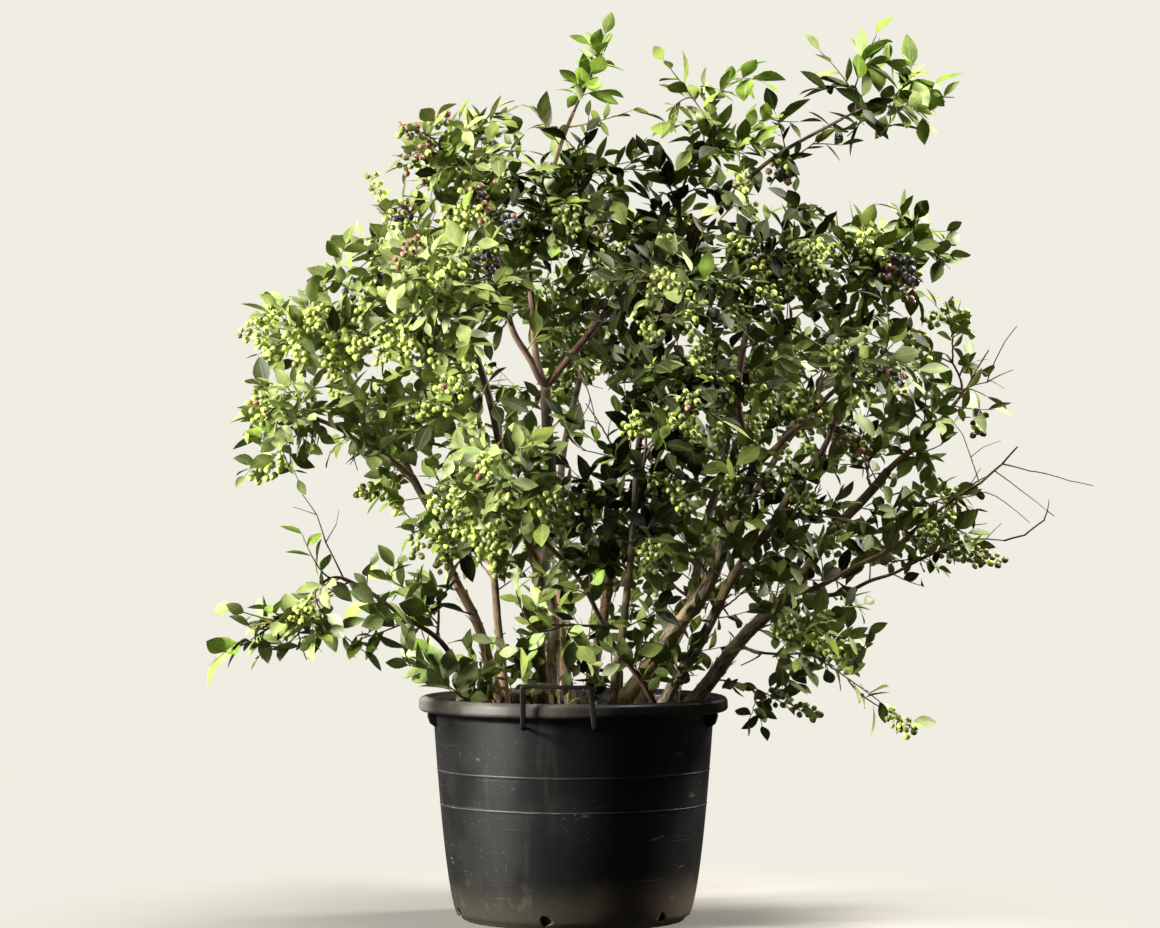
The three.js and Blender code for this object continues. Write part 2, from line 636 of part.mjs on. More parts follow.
addNode("pot", toGeometry(potSolid()), COLOURS.plastic, 0.45);
addNode("soil", toGeometry(soilSolid()), COLOURS.soil, 1);
for (const [name, turn] of [["handle_front", 0], ["handle_back", 180]]) {
  addNode(name, toGeometry(handleSolid(HANDLE.tilt + turn)), COLOURS.plastic, 0.45);
}
for (const [name, stem] of Object.entries(STEMS)) {
  addNode(name, toGeometry(makeStem(name, stem)), COLOURS.oldBark, 0.9);
}
for (const [name, bough] of Object.entries(BOUGHS)) {
  addNode(name, toGeometry(makeBough(name, bough)), COLOURS.youngBark, 0.85);
}
const room = {};
for (const [name, limb] of Object.entries(limbs)) room[name] = withBox(limbSolid(limb, CLEAR_OF_LIMB));
Object.entries(MASSES).forEach(([name, mass], i) => {
  addNode("foliage_" + name, toGeometry(massSolid(mass, i + 1, room)), COLOURS.foliage, 0.7);
});

export default group;
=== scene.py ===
"""Finishes the potted blueberry bush: bark, twigs, leaves, berries, pot, handles and soil, in metres."""

import functools
import math

import bpy
import numpy as np
from bpy.types import Operator, Panel, PropertyGroup
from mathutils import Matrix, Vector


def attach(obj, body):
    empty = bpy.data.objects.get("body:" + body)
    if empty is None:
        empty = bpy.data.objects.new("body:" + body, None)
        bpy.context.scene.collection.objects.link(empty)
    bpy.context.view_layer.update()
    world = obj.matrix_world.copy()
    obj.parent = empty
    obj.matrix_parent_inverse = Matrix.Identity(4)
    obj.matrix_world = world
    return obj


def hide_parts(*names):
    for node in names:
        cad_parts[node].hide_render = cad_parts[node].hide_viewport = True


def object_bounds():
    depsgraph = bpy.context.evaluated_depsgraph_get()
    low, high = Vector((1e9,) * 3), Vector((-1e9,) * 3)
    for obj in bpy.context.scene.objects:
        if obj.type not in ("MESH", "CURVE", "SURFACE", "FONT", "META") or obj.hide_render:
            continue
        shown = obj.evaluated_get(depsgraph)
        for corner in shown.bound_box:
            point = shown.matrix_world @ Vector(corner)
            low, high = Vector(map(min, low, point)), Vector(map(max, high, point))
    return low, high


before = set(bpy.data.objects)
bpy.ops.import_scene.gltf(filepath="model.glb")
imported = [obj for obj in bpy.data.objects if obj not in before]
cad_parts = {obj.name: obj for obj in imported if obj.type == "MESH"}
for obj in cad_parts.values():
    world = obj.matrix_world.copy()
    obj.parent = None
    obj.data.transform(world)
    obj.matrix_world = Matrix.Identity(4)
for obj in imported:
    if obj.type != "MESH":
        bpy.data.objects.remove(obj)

bl_info = {
    "name": "Potted Blueberry Bush",
    "version": (1, 0, 0),
    "blender": (4, 5, 0),
    "location": "View3D > Sidebar > Bush",
    "description": "Grows the bark, twigs, leaves and berries of a potted bush round its packed model",
    "category": "Add Mesh",
}

MM = 0.001
CAD_BOX = np.array(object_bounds())
UP = np.array([0.0, 0.0, 1.0])
GOLDEN_ANGLE = math.pi * (3 - math.sqrt(5))
SEED = 20

# -------- the plant's plan, in millimetres

SOIL_LEVEL = 335
BURIED = 15  # how deep the feet of the stems are in the soil
RIM_RADIUS = 250
POT_HEIGHT = 360
BASE_RADIUS = 182
WALL_TOP_RADIUS = 227  # where the wall meets the rolled rim
WALL_TOP = 335
FLARE = {"share": 0.45, "height": 35}  # how much wider a stem is at the soil, and how soon that fades
WAVE = {"share": 0.011, "turns": (9, 13), "shift": 2.4}  # how a limb sways about its curve
LIMB_POINTS = 81

# foot [x, y] at soil level, a point halfway up, the tip, and the radii at foot and tip
STEMS = {
    "stem_low_left": ((-130, -40), (-220, -130, 455), (-360, -210, 555), (5, 3)),
    "stem_left": ((-110, 20), (-185, -10, 545), (-260, -40, 715), (8.5, 6)),
    "stem_left_upright": ((-110, 90), (-130, 110, 525), (-145, 130, 690), (7, 5.5)),
    "stem_peeling": ((-45, -20), (-75, -70, 605), (-165, -190, 940), (9.5, 5)),
    "stem_fork": ((-35, 40), (-40, 40, 600), (-45, 30, 860), (11, 8.5)),
    "stem_centre": ((25, 75), (65, 140, 650), (125, 200, 990), (9.5, 5)),
    "stem_leaning": ((45, -30), (195, -60, 515), (290, -80, 730), (13, 9)),
    "stem_leaning_twin": ((100, 40), (200, 90, 555), (255, 150, 790), (11, 6)),
    "stem_mid_right": ((130, -60), (270, -120, 575), (390, -160, 750), (9, 6)),
    "stem_far_right": ((168, 0), (345, 0, 530), (510, 0, 725), (12, 7)),
    "stem_crossing": ((145, -110), (25, -180, 520), (-120, -230, 710), (4.5, 3)),
    "stem_front": ((60, -130), (88, -250, 600), (125, -270, 930), (7, 4)),
    "stem_back": ((0, 130), (-25, 290, 605), (10, 370, 880), (9, 5)),
    "stem_back_right": ((110, 125), (235, 270, 575), (380, 340, 795), (9, 5)),
}

# the limb that bears it, the share of that limb where it starts, a point halfway, the tip, and both radii
BOUGHS = {
    "bough_left_low": ("stem_left", 1, (-330, -80, 765), (-415, -95, 810), (5, 3)),
    "bough_left_mid": ("stem_left", 1, (-300, -5, 780), (-380, 30, 885), (5, 3)),
    "bough_left_upper": ("stem_left_upright", 1, (-165, 160, 835), (-235, 200, 1000), (5, 3)),
    "bough_fork_left": ("stem_fork", 1, (-95, 0, 955), (-145, -30, 1125), (6, 3.5)),
    "bough_fork_middle": ("stem_fork", 1, (-70, 70, 1065), (0, 110, 1315), (6, 3)),
    "bough_fork_right": ("stem_fork", 1, (180, 40, 1115), (440, 60, 1300), (6.5, 2.5)),
    "bough_mast": ("stem_leaning", 1, (265, -95, 860), (295, -120, 1045), (7.5, 4)),
    "bough_right_fork": ("stem_leaning", 1, (350, -150, 790), (420, -230, 860), (5.5, 3.5)),
    "bough_right_upper": ("stem_mid_right", 1, (440, -130, 875), (470, -110, 1030), (5, 3)),
    "bough_right_tip": ("stem_far_right", 1, (570, 10, 780), (625, 20, 840), (5.5, 3)),
    "bough_right_level": ("stem_far_right", 0.5, (475, -60, 580), (595, -90, 670), (4.5, 2.5)),
    "bough_right_low": ("stem_far_right", 0.46, (450, 60, 530), (545, 90, 565), (4.5, 2.5)),
}

# the limb that bears it, its share, the centre and radii of its space, and where its longest twig ends
MASSES = {
    "low_left": ("stem_low_left", 1, (-410, -220, 480), (135, 110, 90), (-540, -230, 480)),
    "low_left_inner": ("stem_low_left", 0.5, (-225, -105, 515), (115, 100, 85), (-175, -120, 550)),
    "left_tip": ("bough_left_low", 1, (-450, -110, 825), (100, 110, 90), (-540, -115, 820)),
    "left_shoulder": ("bough_left_mid", 1, (-405, 45, 955), (145, 140, 95), (-505, 50, 935)),
    "left_upper": ("bough_left_upper", 1, (-270, 215, 1075), (140, 155, 110), (-345, 230, 1155)),
    "left_front": ("stem_peeling", 1, (-210, -215, 990), (140, 150, 120), (-285, -240, 1050)),
    "crown_left": ("bough_fork_left", 1, (-168, -40, 1218), (140, 150, 105), (-262, -40, 1262)),
    "crown_middle": ("bough_fork_middle", 0.62, (-20, 20, 1155), (120, 160, 120), (25, -60, 1225)),
    "top_shoot": ("bough_fork_middle", 1, (45, 110, 1395), (60, 80, 100), (55, 110, 1478)),
    "top_middle": ("bough_fork_right", 0.52, (245, 80, 1265), (150, 130, 120), (205, 90, 1385)),
    "top_right": ("bough_fork_right", 1, (505, 70, 1335), (140, 110, 95), (625, 75, 1365)),
    "mast_top": ("bough_mast", 1, (330, -125, 1070), (140, 145, 115), (360, -150, 1200)),
    "right_upper": ("bough_right_upper", 1, (480, -95, 1065), (150, 115, 95), (625, -90, 1095)),
    "right_front": ("bough_right_fork", 1, (450, -255, 890), (130, 135, 120), (525, -275, 940)),
    "right_tip": ("bough_right_tip", 1, (590, 25, 915), (105, 110, 110), (675, 28, 905)),
    "right_middle": ("stem_far_right", 0.93, (500, 60, 790), (120, 130, 105), (565, 110, 850)),
    "right_level": ("bough_right_level", 1, (625, -100, 690), (150, 80, 70), (695, -100, 738)),
    "right_low": ("bough_right_low", 1, (575, 95, 600), (120, 100, 70), (690, 100, 580)),
    "droop": ("stem_far_right", 0.3, (375, -135, 465), (145, 110, 100), (510, -150, 335)),
    "centre_back": ("stem_centre", 1, (135, 235, 1085), (150, 165, 130), (130, 260, 1195)),
    "centre_right": ("stem_leaning_twin", 1, (290, 190, 865), (140, 165, 135), (310, 220, 960)),
    "back_left": ("stem_back", 1, (-25, 400, 965), (170, 160, 150), (-110, 430, 1070)),
    "back_right": ("stem_back_right", 1, (415, 375, 880), (155, 155, 140), (475, 400, 965)),
    "low_back": ("stem_back_right", 0.4, (130, 240, 600), (135, 135, 105), (60, 280, 640)),
    "front_left": ("stem_crossing", 1, (-95, -285, 705), (130, 120, 120), (-170, -320, 770)),
    "front_middle": ("stem_front", 0.66, (120, -330, 830), (150, 130, 135), (80, -370, 925)),
    "front_upper": ("stem_front", 1, (165, -250, 990), (155, 150, 130), (100, -290, 1080)),
    "left_inner": ("stem_left", 0.8, (-185, -125, 665), (120, 100, 115), (-205, -175, 740)),
    "low_front": ("stem_front", 0.28, (-15, -235, 490), (145, 95, 100), (-115, -260, 460)),
    "right_inner": ("stem_mid_right", 0.62, (360, -110, 680), (110, 125, 100), (425, -130, 710)),
}

# dead branches without leaves, by limb: the radius at the foot, and the bends from foot to tip
DEAD_WOOD = {
    "stem_low_left": [
        (1.7, [(-360, -210, 555), (-388, -212, 612), (-402, -213, 655), (-425, -215, 688)]),
        (1.0, [(-388, -212, 612), (-372, -205, 640), (-368, -205, 662)]),
        (0.9, [(-402, -213, 655), (-440, -214, 668)]),
    ],
    "bough_right_level": [
        (2.8, [(595, -90, 670), (650, -100, 705), (684, -100, 735), (709, -100, 763)]),
        (1.5, [(684, -100, 735), (728, -100, 724), (752, -100, 720), (792, -100, 708), (830, -100, 700)]),
        (1.3, [(672, -100, 724), (712, -105, 694), (755, -110, 660)]),
        (1.1, [(755, -110, 660), (758, -110, 679)]),
        (1.1, [(628, -98, 692), (650, -100, 729)]),
        (1.3, [(600, -90, 674), (658, -90, 690), (676, -90, 683), (701, -90, 665), (729, -90, 641)]),
        (1.3, [(648, -100, 704), (635, -90, 746), (623, -80, 782), (602, -70, 811)]),
        (0.9, [(635, -90, 746), (655, -90, 762), (683, -90, 772)]),
    ],
    "bough_right_low": [
        (2.2, [(545, 90, 565), (600, 40, 594), (643, -20, 614), (692, -60, 612)]),
        (1.7, [(692, -60, 612), (722, -80, 621), (750, -105, 645), (755, -110, 660), (766, -110, 652)]),
        (1.0, [(665, -40, 615), (689, -45, 640)]),
    ],
    "bough_right_tip": [
        (2.1, [(625, 20, 840), (641, 22, 861), (655, 24, 887), (676, 26, 921)]),
        (1.4, [(641, 22, 861), (673, 28, 868), (679, 28, 888), (702, 30, 934), (722, 30, 960)]),
        (1.2, [(673, 28, 868), (694, 15, 880), (714, 10, 888)]),
        (0.9, [(676, 28, 872), (700, 20, 858)]),
    ],
}

# further shoots of a mass, by their tips
SHOOT_TIPS = {
    "top_shoot": [(5, 100, 1360)],
    "crown_middle": [(25, -30, 1295), (-50, 30, 1290), (95, 40, 1228)],
    "left_upper": [(-355, 150, 1060), (-325, 200, 1188)],
    "top_middle": [(148, 90, 1398), (165, 70, 1322), (265, 70, 1375)],
    "top_right": [(403, 70, 1412), (497, 70, 1440), (556, 70, 1296)],
    "right_upper": [(552, -95, 1126), (600, -95, 1066)],
    "right_tip": [(672, 25, 845)],
    "low_left": [(-425, -215, 625), (-330, -180, 440), (-530, -225, 445), (-535, -225, 508)],
    "droop": [(535, -150, 325)],
}

# sprays that leave a limb: the limb, its share, the tip, and how many finer twigs it bears
SPRAYS = [
    ("stem_low_left", 0.3, (-262, -125, 415), 3), ("stem_low_left", 0.65, (-335, -190, 460), 2),
    ("stem_far_right", 0.16, (340, -60, 348), 6), ("stem_peeling", 0.9, (-270, -120, 880), 9),
    ("stem_peeling", 0.75, (-215, -215, 830), 9), ("stem_peeling", 0.6, (-170, -60, 800), 8),
    ("bough_left_low", 0.35, (-255, -150, 800), 8), ("stem_left", 0.7, (-300, 20, 690), 3),
    ("bough_left_mid", 0.45, (-230, 60, 870), 8), ("stem_front", 0.8, (205, -330, 900), 7),
    ("stem_front", 0.5, (150, -260, 700), 8), ("stem_front", 0.42, (30, -240, 640), 7),
    ("stem_centre", 0.45, (20, 60, 730), 7), ("stem_mid_right", 0.4, (300, -60, 560), 6),
    ("stem_mid_right", 0.55, (330, -180, 600), 6), ("stem_far_right", 0.45, (390, 90, 660), 6),
    ("stem_leaning", 0.6, (150, -140, 640), 7), ("stem_leaning_twin", 0.6, (140, 200, 720), 7),
    ("stem_back", 0.5, (-120, 230, 640), 7), ("stem_left_upright", 0.6, (-200, 190, 660), 6),
    ("bough_fork_right", 0.2, (60, -40, 1010), 8), ("bough_fork_left", 0.4, (-140, -110, 1060), 8),
    ("stem_fork", 0.78, (-100, -20, 812), 6), ("stem_leaning", 0.25, (110, -110, 470), 1),
    ("bough_right_tip", 0.3, (600, 20, 768), 4), ("stem_far_right", 0.7, (485, 30, 650), 4),
    ("bough_right_level", 0.6, (590, -70, 702), 3), ("stem_low_left", 0.12, (-215, -160, 405), 2),
    ("stem_left", 0.1, (-165, -95, 430), 4), ("stem_crossing", 0.1, (95, -195, 420), 2),
    ("stem_peeling", 0.12, (-90, -120, 430), 4), ("bough_right_upper", 1, (520, -95, 1128), 6),
    ("bough_right_upper", 1, (585, -95, 1082), 3), ("bough_fork_right", 0.8, (395, 70, 1262), 3),
    ("bough_left_low", 0.5, (-330, -140, 830), 8), ("bough_left_mid", 0.25, (-290, -60, 830), 8),
    ("stem_left", 0.95, (-340, 40, 790), 6), ("bough_fork_left", 0.7, (-200, -60, 1130), 8),
    ("stem_leaning", 0.9, (215, -130, 760), 6), ("bough_right_upper", 0.95, (545, -90, 1126), 6),
    ("stem_low_left", 0.97, (-520, -225, 450), 4), ("bough_left_upper", 0.6, (-270, 150, 960), 7),
    ("bough_fork_middle", 0.5, (-110, 20, 1090), 7), ("bough_right_tip", 0.5, (570, -20, 850), 5),
    ("bough_fork_middle", 0.75, (160, 80, 1212), 5), ("bough_fork_right", 0.5, (140, 60, 1225), 4),
    ("bough_right_upper", 0.95, (420, -90, 1140), 5), ("bough_left_upper", 0.75, (-398, 130, 1045), 5),
    ("bough_left_low", 0.95, (-478, -100, 748), 4), ("stem_far_right", 0.36, (400, -60, 420), 6),
    ("stem_far_right", 0.42, (455, -40, 445), 5), ("bough_right_upper", 0.5, (425, -120, 985), 6),
    ("stem_mid_right", 0.12, (185, -110, 440), 4), ("stem_leaning", 0.3, (165, -20, 480), 3),
    ("stem_left", 0.42, (-295, -110, 552), 5), ("bough_mast", 0.6, (375, -150, 985), 5),
]

# twigs without leaves: the limb, its share, and the tip
BARE_TWIGS = [
    ("bough_fork_right", 0.08, (38, 20, 790)), ("bough_fork_right", 0.16, (75, 10, 850)),
    ("stem_centre", 0.62, (20, 120, 835)), ("bough_left_low", 0.6, (-345, -90, 725)),
    ("bough_right_level", 0.7, (660, -95, 640)), ("stem_leaning_twin", 0.8, (330, 60, 700)),
    ("stem_mid_right", 0.75, (470, -150, 640)),
]

# where bunches of berries hang, seen from the front: x, z, the breadth of the place, how many, and the
# kind where it isn't green
FRUIT = [
    (-472, 952, 45, 10), (-440, 990, 35, 5), (-362, 920, 45, 8), (-281, 920, 45, 8), (-362, 985, 38, 5),
    (-500, 880, 32, 3), (-300, 693, 22, 5), (-482, 734, 18, 2), (-232, 604, 30, 4), (-142, 640, 40, 6),
    (-240, 855, 40, 6), (-192, 880, 35, 4), (-120, 775, 40, 3), (-256, 1260, 32, 5, "blush"),
    (-320, 1170, 25, 3), (-298, 1138, 30, 4, "blue"), (-268, 1098, 22, 3, "blush"),
    (-143, 1187, 30, 5, "blush"), (-135, 1163, 25, 4, "blue"), (-176, 1138, 32, 6), (-216, 1082, 32, 5),
    (-136, 1062, 25, 3, "blue"), (-70, 1138, 32, 4), (-22, 1122, 30, 3), (27, 1058, 30, 2),
    (108, 1049, 40, 2), (132, 1098, 32, 1), (108, 952, 40, 2), (189, 1017, 40, 3), (221, 1001, 32, 3),
    (286, 1090, 40, 10), (335, 1066, 40, 9), (383, 1057, 32, 6), (302, 1017, 32, 5), (237, 903, 32, 6),
    (205, 920, 25, 4), (351, 1227, 20, 3, "blue"), (286, 1187, 20, 2), (497, 1074, 40, 4, "blue"),
    (520, 1060, 30, 3, "blush"), (472, 1090, 30, 4), (480, 887, 20, 3, "blue"), (472, 774, 20, 3, "blush"),
    (667, 831, 14, 1, "blue"), (278, 822, 32, 6), (351, 806, 40, 7), (318, 839, 25, 4), (270, 733, 32, 5),
    (342, 701, 25, 4), (440, 928, 25, 4), (529, 920, 25, 3), (124, 790, 40, 3), (189, 822, 32, 3),
    (148, 709, 32, 4), (108, 580, 30, 3), (561, 612, 25, 3), (610, 622, 25, 3), (642, 600, 17, 2),
    (517, 350, 14, 2), (302, 365, 14, 1), (343, 350, 10, 1), (-427, 531, 20, 3), (-184, 693, 30, 2),
    (-119, 677, 30, 2), (-46, 709, 30, 2), (-87, 644, 30, 2), (27, 709, 30, 2), (586, 709, 20, 3),
    (594, 644, 20, 3), (415, 450, 25, 3), (367, 498, 25, 3), (600, 1000, 25, 2), (420, 620, 30, 3),
]
BACK_FRUIT = {"green": 80, "blush": 8, "blue": 14}

# open places in the crown, as ellipses seen from the front: x, z and the two radii
SKY = [
    (-95, 918, 38, 60), (36, 832, 27, 48), (-347, 628, 46, 50), (530, 1222, 110, 54), (400, 1190, 45, 42),
    (286, 405, 40, 28), (90, 1375, 22, 50), (400, 701, 24, 18), (505, 920, 14, 12), (690, 975, 48, 40),
    (684, 716, 44, 38), (645, 728, 30, 28), (552, 512, 36, 26), (502, 452, 26, 26), (262, 515, 20, 18),
    (10, 752, 22, 20), (-262, 692, 22, 50), (-375, 715, 45, 25), (-400, 413, 95, 27), (-532, 1012, 26, 26),
    (440, 860, 14, 12), (330, 760, 14, 16), (470, 560, 18, 12), (-112, 492, 30, 38), (20, 500, 20, 32),
    (-30, 445, 15, 62), (82, 384, 32, 26), (236, 412, 16, 28), (285, 468, 22, 24), (-172, 512, 18, 44),
    (-215, 470, 20, 22), (430, 905, 16, 10), (385, 940, 12, 10), (600, 760, 18, 12), (450, 660, 16, 10),
    (540, 1010, 14, 10), (340, 600, 14, 12), (610, 930, 12, 14),
]

# how full some masses are, against the rest
FULLNESS = {
    "right_tip": 0.42, "right_level": 0.2, "right_middle": 0.38, "right_low": 0.5, "top_shoot": 0.35,
    "right_upper": 0.55, "top_right": 0.5, "left_inner": 0.85, "low_left": 0.32, "right_inner": 0.5,
    "top_middle": 0.62, "centre_right": 0.5, "back_right": 0.55, "right_front": 0.6, "droop": 0.6,
    "low_back": 0.4, "low_front": 0.5, "low_left_inner": 0.2, "mast_top": 0.85, "left_tip": 1.2,
    "left_shoulder": 1.25, "left_front": 1.2, "left_upper": 1.2, "crown_left": 1.25, "crown_middle": 1.25,
    "front_upper": 0.95, "front_left": 1.1,
}

# how large the leaves of some masses and limbs are, against the rest
BREADTH = {
    "low_left": 1.15, "low_left_inner": 1.2, "stem_low_left": 1.2, "stem_left": 1.15, "top_shoot": 1.1,
    "top_right": 1.25, "top_middle": 1.15, "right_middle": 0.9, "right_low": 0.85, "right_level": 0.85,
}

# leafy shoots along the limbs: first and last share, how many, and how long
SIDE_SHOOTS = {
    "stem_low_left": (0.35, 0.9, 3, 70), "stem_left": (0.3, 0.95, 4, 80),
    "stem_left_upright": (0.3, 0.95, 6, 100), "stem_peeling": (0.4, 0.95, 8, 110),
    "stem_fork": (0.42, 0.9, 7, 100), "stem_centre": (0.35, 0.95, 9, 115),
    "stem_leaning": (0.42, 0.95, 7, 105), "stem_leaning_twin": (0.4, 0.95, 8, 115),
    "stem_mid_right": (0.4, 0.95, 7, 105), "stem_far_right": (0.36, 0.95, 7, 95),
    "stem_crossing": (0.15, 0.95, 8, 95), "stem_front": (0.1, 0.95, 10, 110),
    "stem_back": (0.2, 0.95, 10, 120), "stem_back_right": (0.2, 0.95, 10, 115),
    "bough_left_low": (0.2, 0.9, 4, 80), "bough_left_mid": (0.2, 0.9, 5, 90),
    "bough_left_upper": (0.2, 0.9, 6, 100), "bough_fork_left": (0.25, 0.9, 6, 100),
    "bough_fork_middle": (0.3, 0.95, 8, 95), "bough_fork_right": (0.3, 0.85, 8, 105),
    "bough_mast": (0.15, 0.9, 6, 105), "bough_right_fork": (0.2, 0.9, 4, 90),
    "bough_right_upper": (0.15, 0.9, 6, 100), "bough_right_tip": (0.3, 0.9, 3, 70),
    "bough_right_level": (0.2, 0.9, 5, 75), "bough_right_low": (0.2, 0.9, 5, 75),
}

# young shoots from the soil: foot and tip
SPROUTS = [
    ((-60, -170), (-85, -205, 410)), ((-10, -180), (0, -200, 400)), ((30, -165), (45, -205, 405)),
    ((150, -70), (190, -110, 410)), ((90, -150), (110, -190, 400)), ((60, 160), (70, 200, 420)),
    ((-80, 150), (-110, 190, 425)), ((170, 60), (205, 80, 415)), ((-40, 60), (-60, 60, 430)),
    ((-5, -50), (-12, -75, 610)), ((20, 10), (48, -10, 590)), ((-75, -70), (-62, -100, 540)),
    ((75, -40), (105, -85, 555)), ((-95, -120), (-115, -160, 415)), ((-125, -80), (-145, -120, 402)),
    ((-70, -140), (-75, -180, 428)), ((-30, -150), (-38, -178, 388)), ((15, -150), (25, -180, 380)),
]


def vec(p):
    return np.array(p, float) * MM


def unit(v):
    return v / np.maximum(np.linalg.norm(v, axis=-1, keepdims=True), 1e-12)


def lerp(a, b, t):
    return a + (b - a) * t


def turns(sides):
    """Angles that lie evenly round a whole turn."""
    return np.linspace(0, 2 * np.pi, sides, endpoint=False)


def turned(a, b, turn):
    """A direction that turns from a towards b: a times the cosine plus b times the sine."""
    return a * np.cos(turn) + b * np.sin(turn)


# -------- limbs


def limb_path(foot, via, tip, order):
    """A parabola from foot through via to tip, with a sine wave to its side and a cosine wave across that,
    both fading out at the ends, as points that lie evenly along it."""
    t = np.linspace(0, 1, 201)[:, None]
    along = tip - foot
    control = 2 * via - 0.5 * foot - 0.5 * tip
    side = unit(np.cross(along, UP))
    rise = unit(np.cross(side, along))
    sway = np.linalg.norm(along) * WAVE["share"] * np.sin(np.pi * t)
    phase = order * WAVE["shift"]
    path = (1 - t) ** 2 * foot + 2 * t * (1 - t) * control + t * t * tip
    path = path + side * sway * np.sin(WAVE["turns"][0] * t + phase)
    path = path + rise * sway * np.cos(WAVE["turns"][1] * t + phase)
    far = np.concatenate([[0], np.cumsum(np.linalg.norm(np.diff(path, axis=0), axis=1))])
    steps = np.linspace(0, far[-1], LIMB_POINTS)
    return np.stack([np.interp(steps, far, path[:, i]) for i in range(3)], axis=1)


class Limb:
    """A stem or bough: evenly spaced points, and the place, heading and radius at any share of its length.
    The radius falls evenly from foot to tip, and a stem rooted in the soil flares out at its foot."""

    def __init__(self, path, radii, rooted):
        self.path = path
        self.radii = radii
        self.rooted = rooted
        self.length = np.linalg.norm(np.diff(path, axis=0), axis=1).sum()

    def at(self, share):
        where = np.asarray(share) * (len(self.path) - 1)
        index = np.minimum(where.astype(int), len(self.path) - 2)
        part = (where - index)[..., None]
        a, b = self.path[index], self.path[index + 1]
        return lerp(a, b, part), unit(b - a)

    def radius(self, share):
        flare = FLARE["share"] * self.radii[0] * np.exp(-share * self.length / (FLARE["height"] * MM))
        return lerp(self.radii[0], self.radii[1], share) + flare * self.rooted


@functools.cache
def limbs():
    """Every stem and bough, by name."""
    made = {}
    for name, (foot, via, tip, radii) in STEMS.items():
        path = limb_path(vec((*foot, SOIL_LEVEL - BURIED)), vec(via), vec(tip), len(made))
        made[name] = Limb(path, vec(radii), True)
    for name, (on, share, via, tip, radii) in BOUGHS.items():
        path = limb_path(made[on].at(share)[0], vec(via), vec(tip), len(made))
        made[name] = Limb(path, vec(radii), False)
    return made


# -------- the space of a mass


def mean_radius(name):
    return sum(MASSES[name][3]) / 3 * MM


def in_cell(points, name):
    """True where a point is on its own mass's side of the plane between it and every other mass."""
    centres = np.array([vec(m[2]) for m in MASSES.values()])
    radii = np.array([mean_radius(n) for n in MASSES])
    power = ((points[:, None] - centres) ** 2).sum(-1) - radii**2
    own = list(MASSES).index(name)
    apart = np.linalg.norm(centres - centres[own], axis=1)
    clear = power - power[:, [own]] > 2 * CLEAR_OF_NEIGHBOUR * apart
    clear[:, own] = True
    return clear.all(1)


def in_space(points, name, margin=0.0):
    """True inside a mass's ellipsoid, made larger by a margin."""
    _, _, centre, radii, _ = MASSES[name]
    return (((points - vec(centre)) / (vec(radii) + margin)) ** 2).sum(-1) <= 1


def in_sky(points):
    """True where a point lies in one of the open places of the crown."""
    hidden = np.zeros(len(points), bool)
    for x, z, rx, rz in SKY:
        aside, above = (points[:, 0] - x * MM) / (rx * MM), (points[:, 2] - z * MM) / (rz * MM)
        hidden |= aside**2 + above**2 < 1
    return hidden


def in_pot(points, margin=0.004):
    """True where a point is inside the pot or its rim, or too near to the handles. The space over the mix
    is free."""
    out = np.linalg.norm(points[:, :2], axis=1)
    inside = (out < RIM_RADIUS * MM + RIM_CLEAR + margin) & (points[:, 2] < POT_HEIGHT * MM + margin)
    over_mix = (out < WALL_TOP_RADIUS * MM - RIM_CLEAR) & (points[:, 2] > (SOIL_LEVEL + 4) * MM)
    grip = (np.abs(points[:, 1]) > GRIP["from"]) & (out < GRIP["to"]) & (points[:, 2] < GRIP["top"])
    return (inside & ~over_mix) | grip


def out_of_pot(points):
    return ~in_pot(points)


def in_box(points, over=0.0):
    """True where a point is in the box of the solids, made larger by a margin."""
    return ((points > CAD_BOX[0] - over) & (points < CAD_BOX[1] + over)).all(1)


CLEAR_OF_NEIGHBOUR = 0.0005  # how far a point keeps from the plane between two masses
RIM_CLEAR = 0.012  # how far leaves and twigs keep from the wall and the rim
GRIP = {"from": 0.235, "to": 0.275, "top": 0.4}  # the space that the handles take up
SPREAD = 1.2207440846 ** -np.array([1, 2, 3])  # powers of the root of x**4 = x + 1 spread points evenly


def even(k, seed):
    """Three numbers from 0 to 1 that fill a cube evenly as k counts up."""
    return (seed * np.array([1, 2, 3]) * 0.137 + k * SPREAD) % 1


def on_ball(u, v, w):
    """A direction from two of three even numbers: the first gives its height, the second its turn. The
    third is handed on."""
    height, turn = 2 * u - 1, 2 * np.pi * v
    ring = math.sqrt(1 - height**2)
    return np.array([ring * math.cos(turn), ring * math.sin(turn), height]), w


def spot_in(name, k, seed, reach):
    """The k-th point of an even spread in a mass's ellipsoid, between two shares of the way out."""
    way, w = on_ball(*even(k, seed))
    _, _, centre, radii, _ = MASSES[name]
    return vec(centre) + vec(radii) * lerp(*reach, w) * way


# -------- growth


class Twigs:
    """Twigs as quadratic curves: start, bend and tip, the radii at both ends, the kind, and the mass or
    limb that they belong to."""

    def __init__(self):
        self.rows = []

    def add(self, start, bend, tip, radii, kind, mass):
        self.rows.append((start, bend, tip, radii, kind, mass))

    def lead(self, start, heading, tip, follow, radii, kind, mass):
        """Adds a twig that sets out along a heading for a share of its way, and gives its bend."""
        bend = start + heading * follow * np.linalg.norm(tip - start)
        self.add(start, bend, tip, radii, kind, mass)
        return bend

    def columns(self, kinds):
        rows = [row for row in self.rows if row[4] in kinds]
        return (*(np.array([row[i] for row in rows]) for i in range(4)), [row[5] for row in rows])


def curve_at(start, bend, tip, share):
    """Points and headings at a share of quadratic curves."""
    point = (1 - share) ** 2 * start + 2 * share * (1 - share) * bend + share**2 * tip
    heading = unit((1 - share) * (bend - start) + share * (tip - bend))
    return point, heading


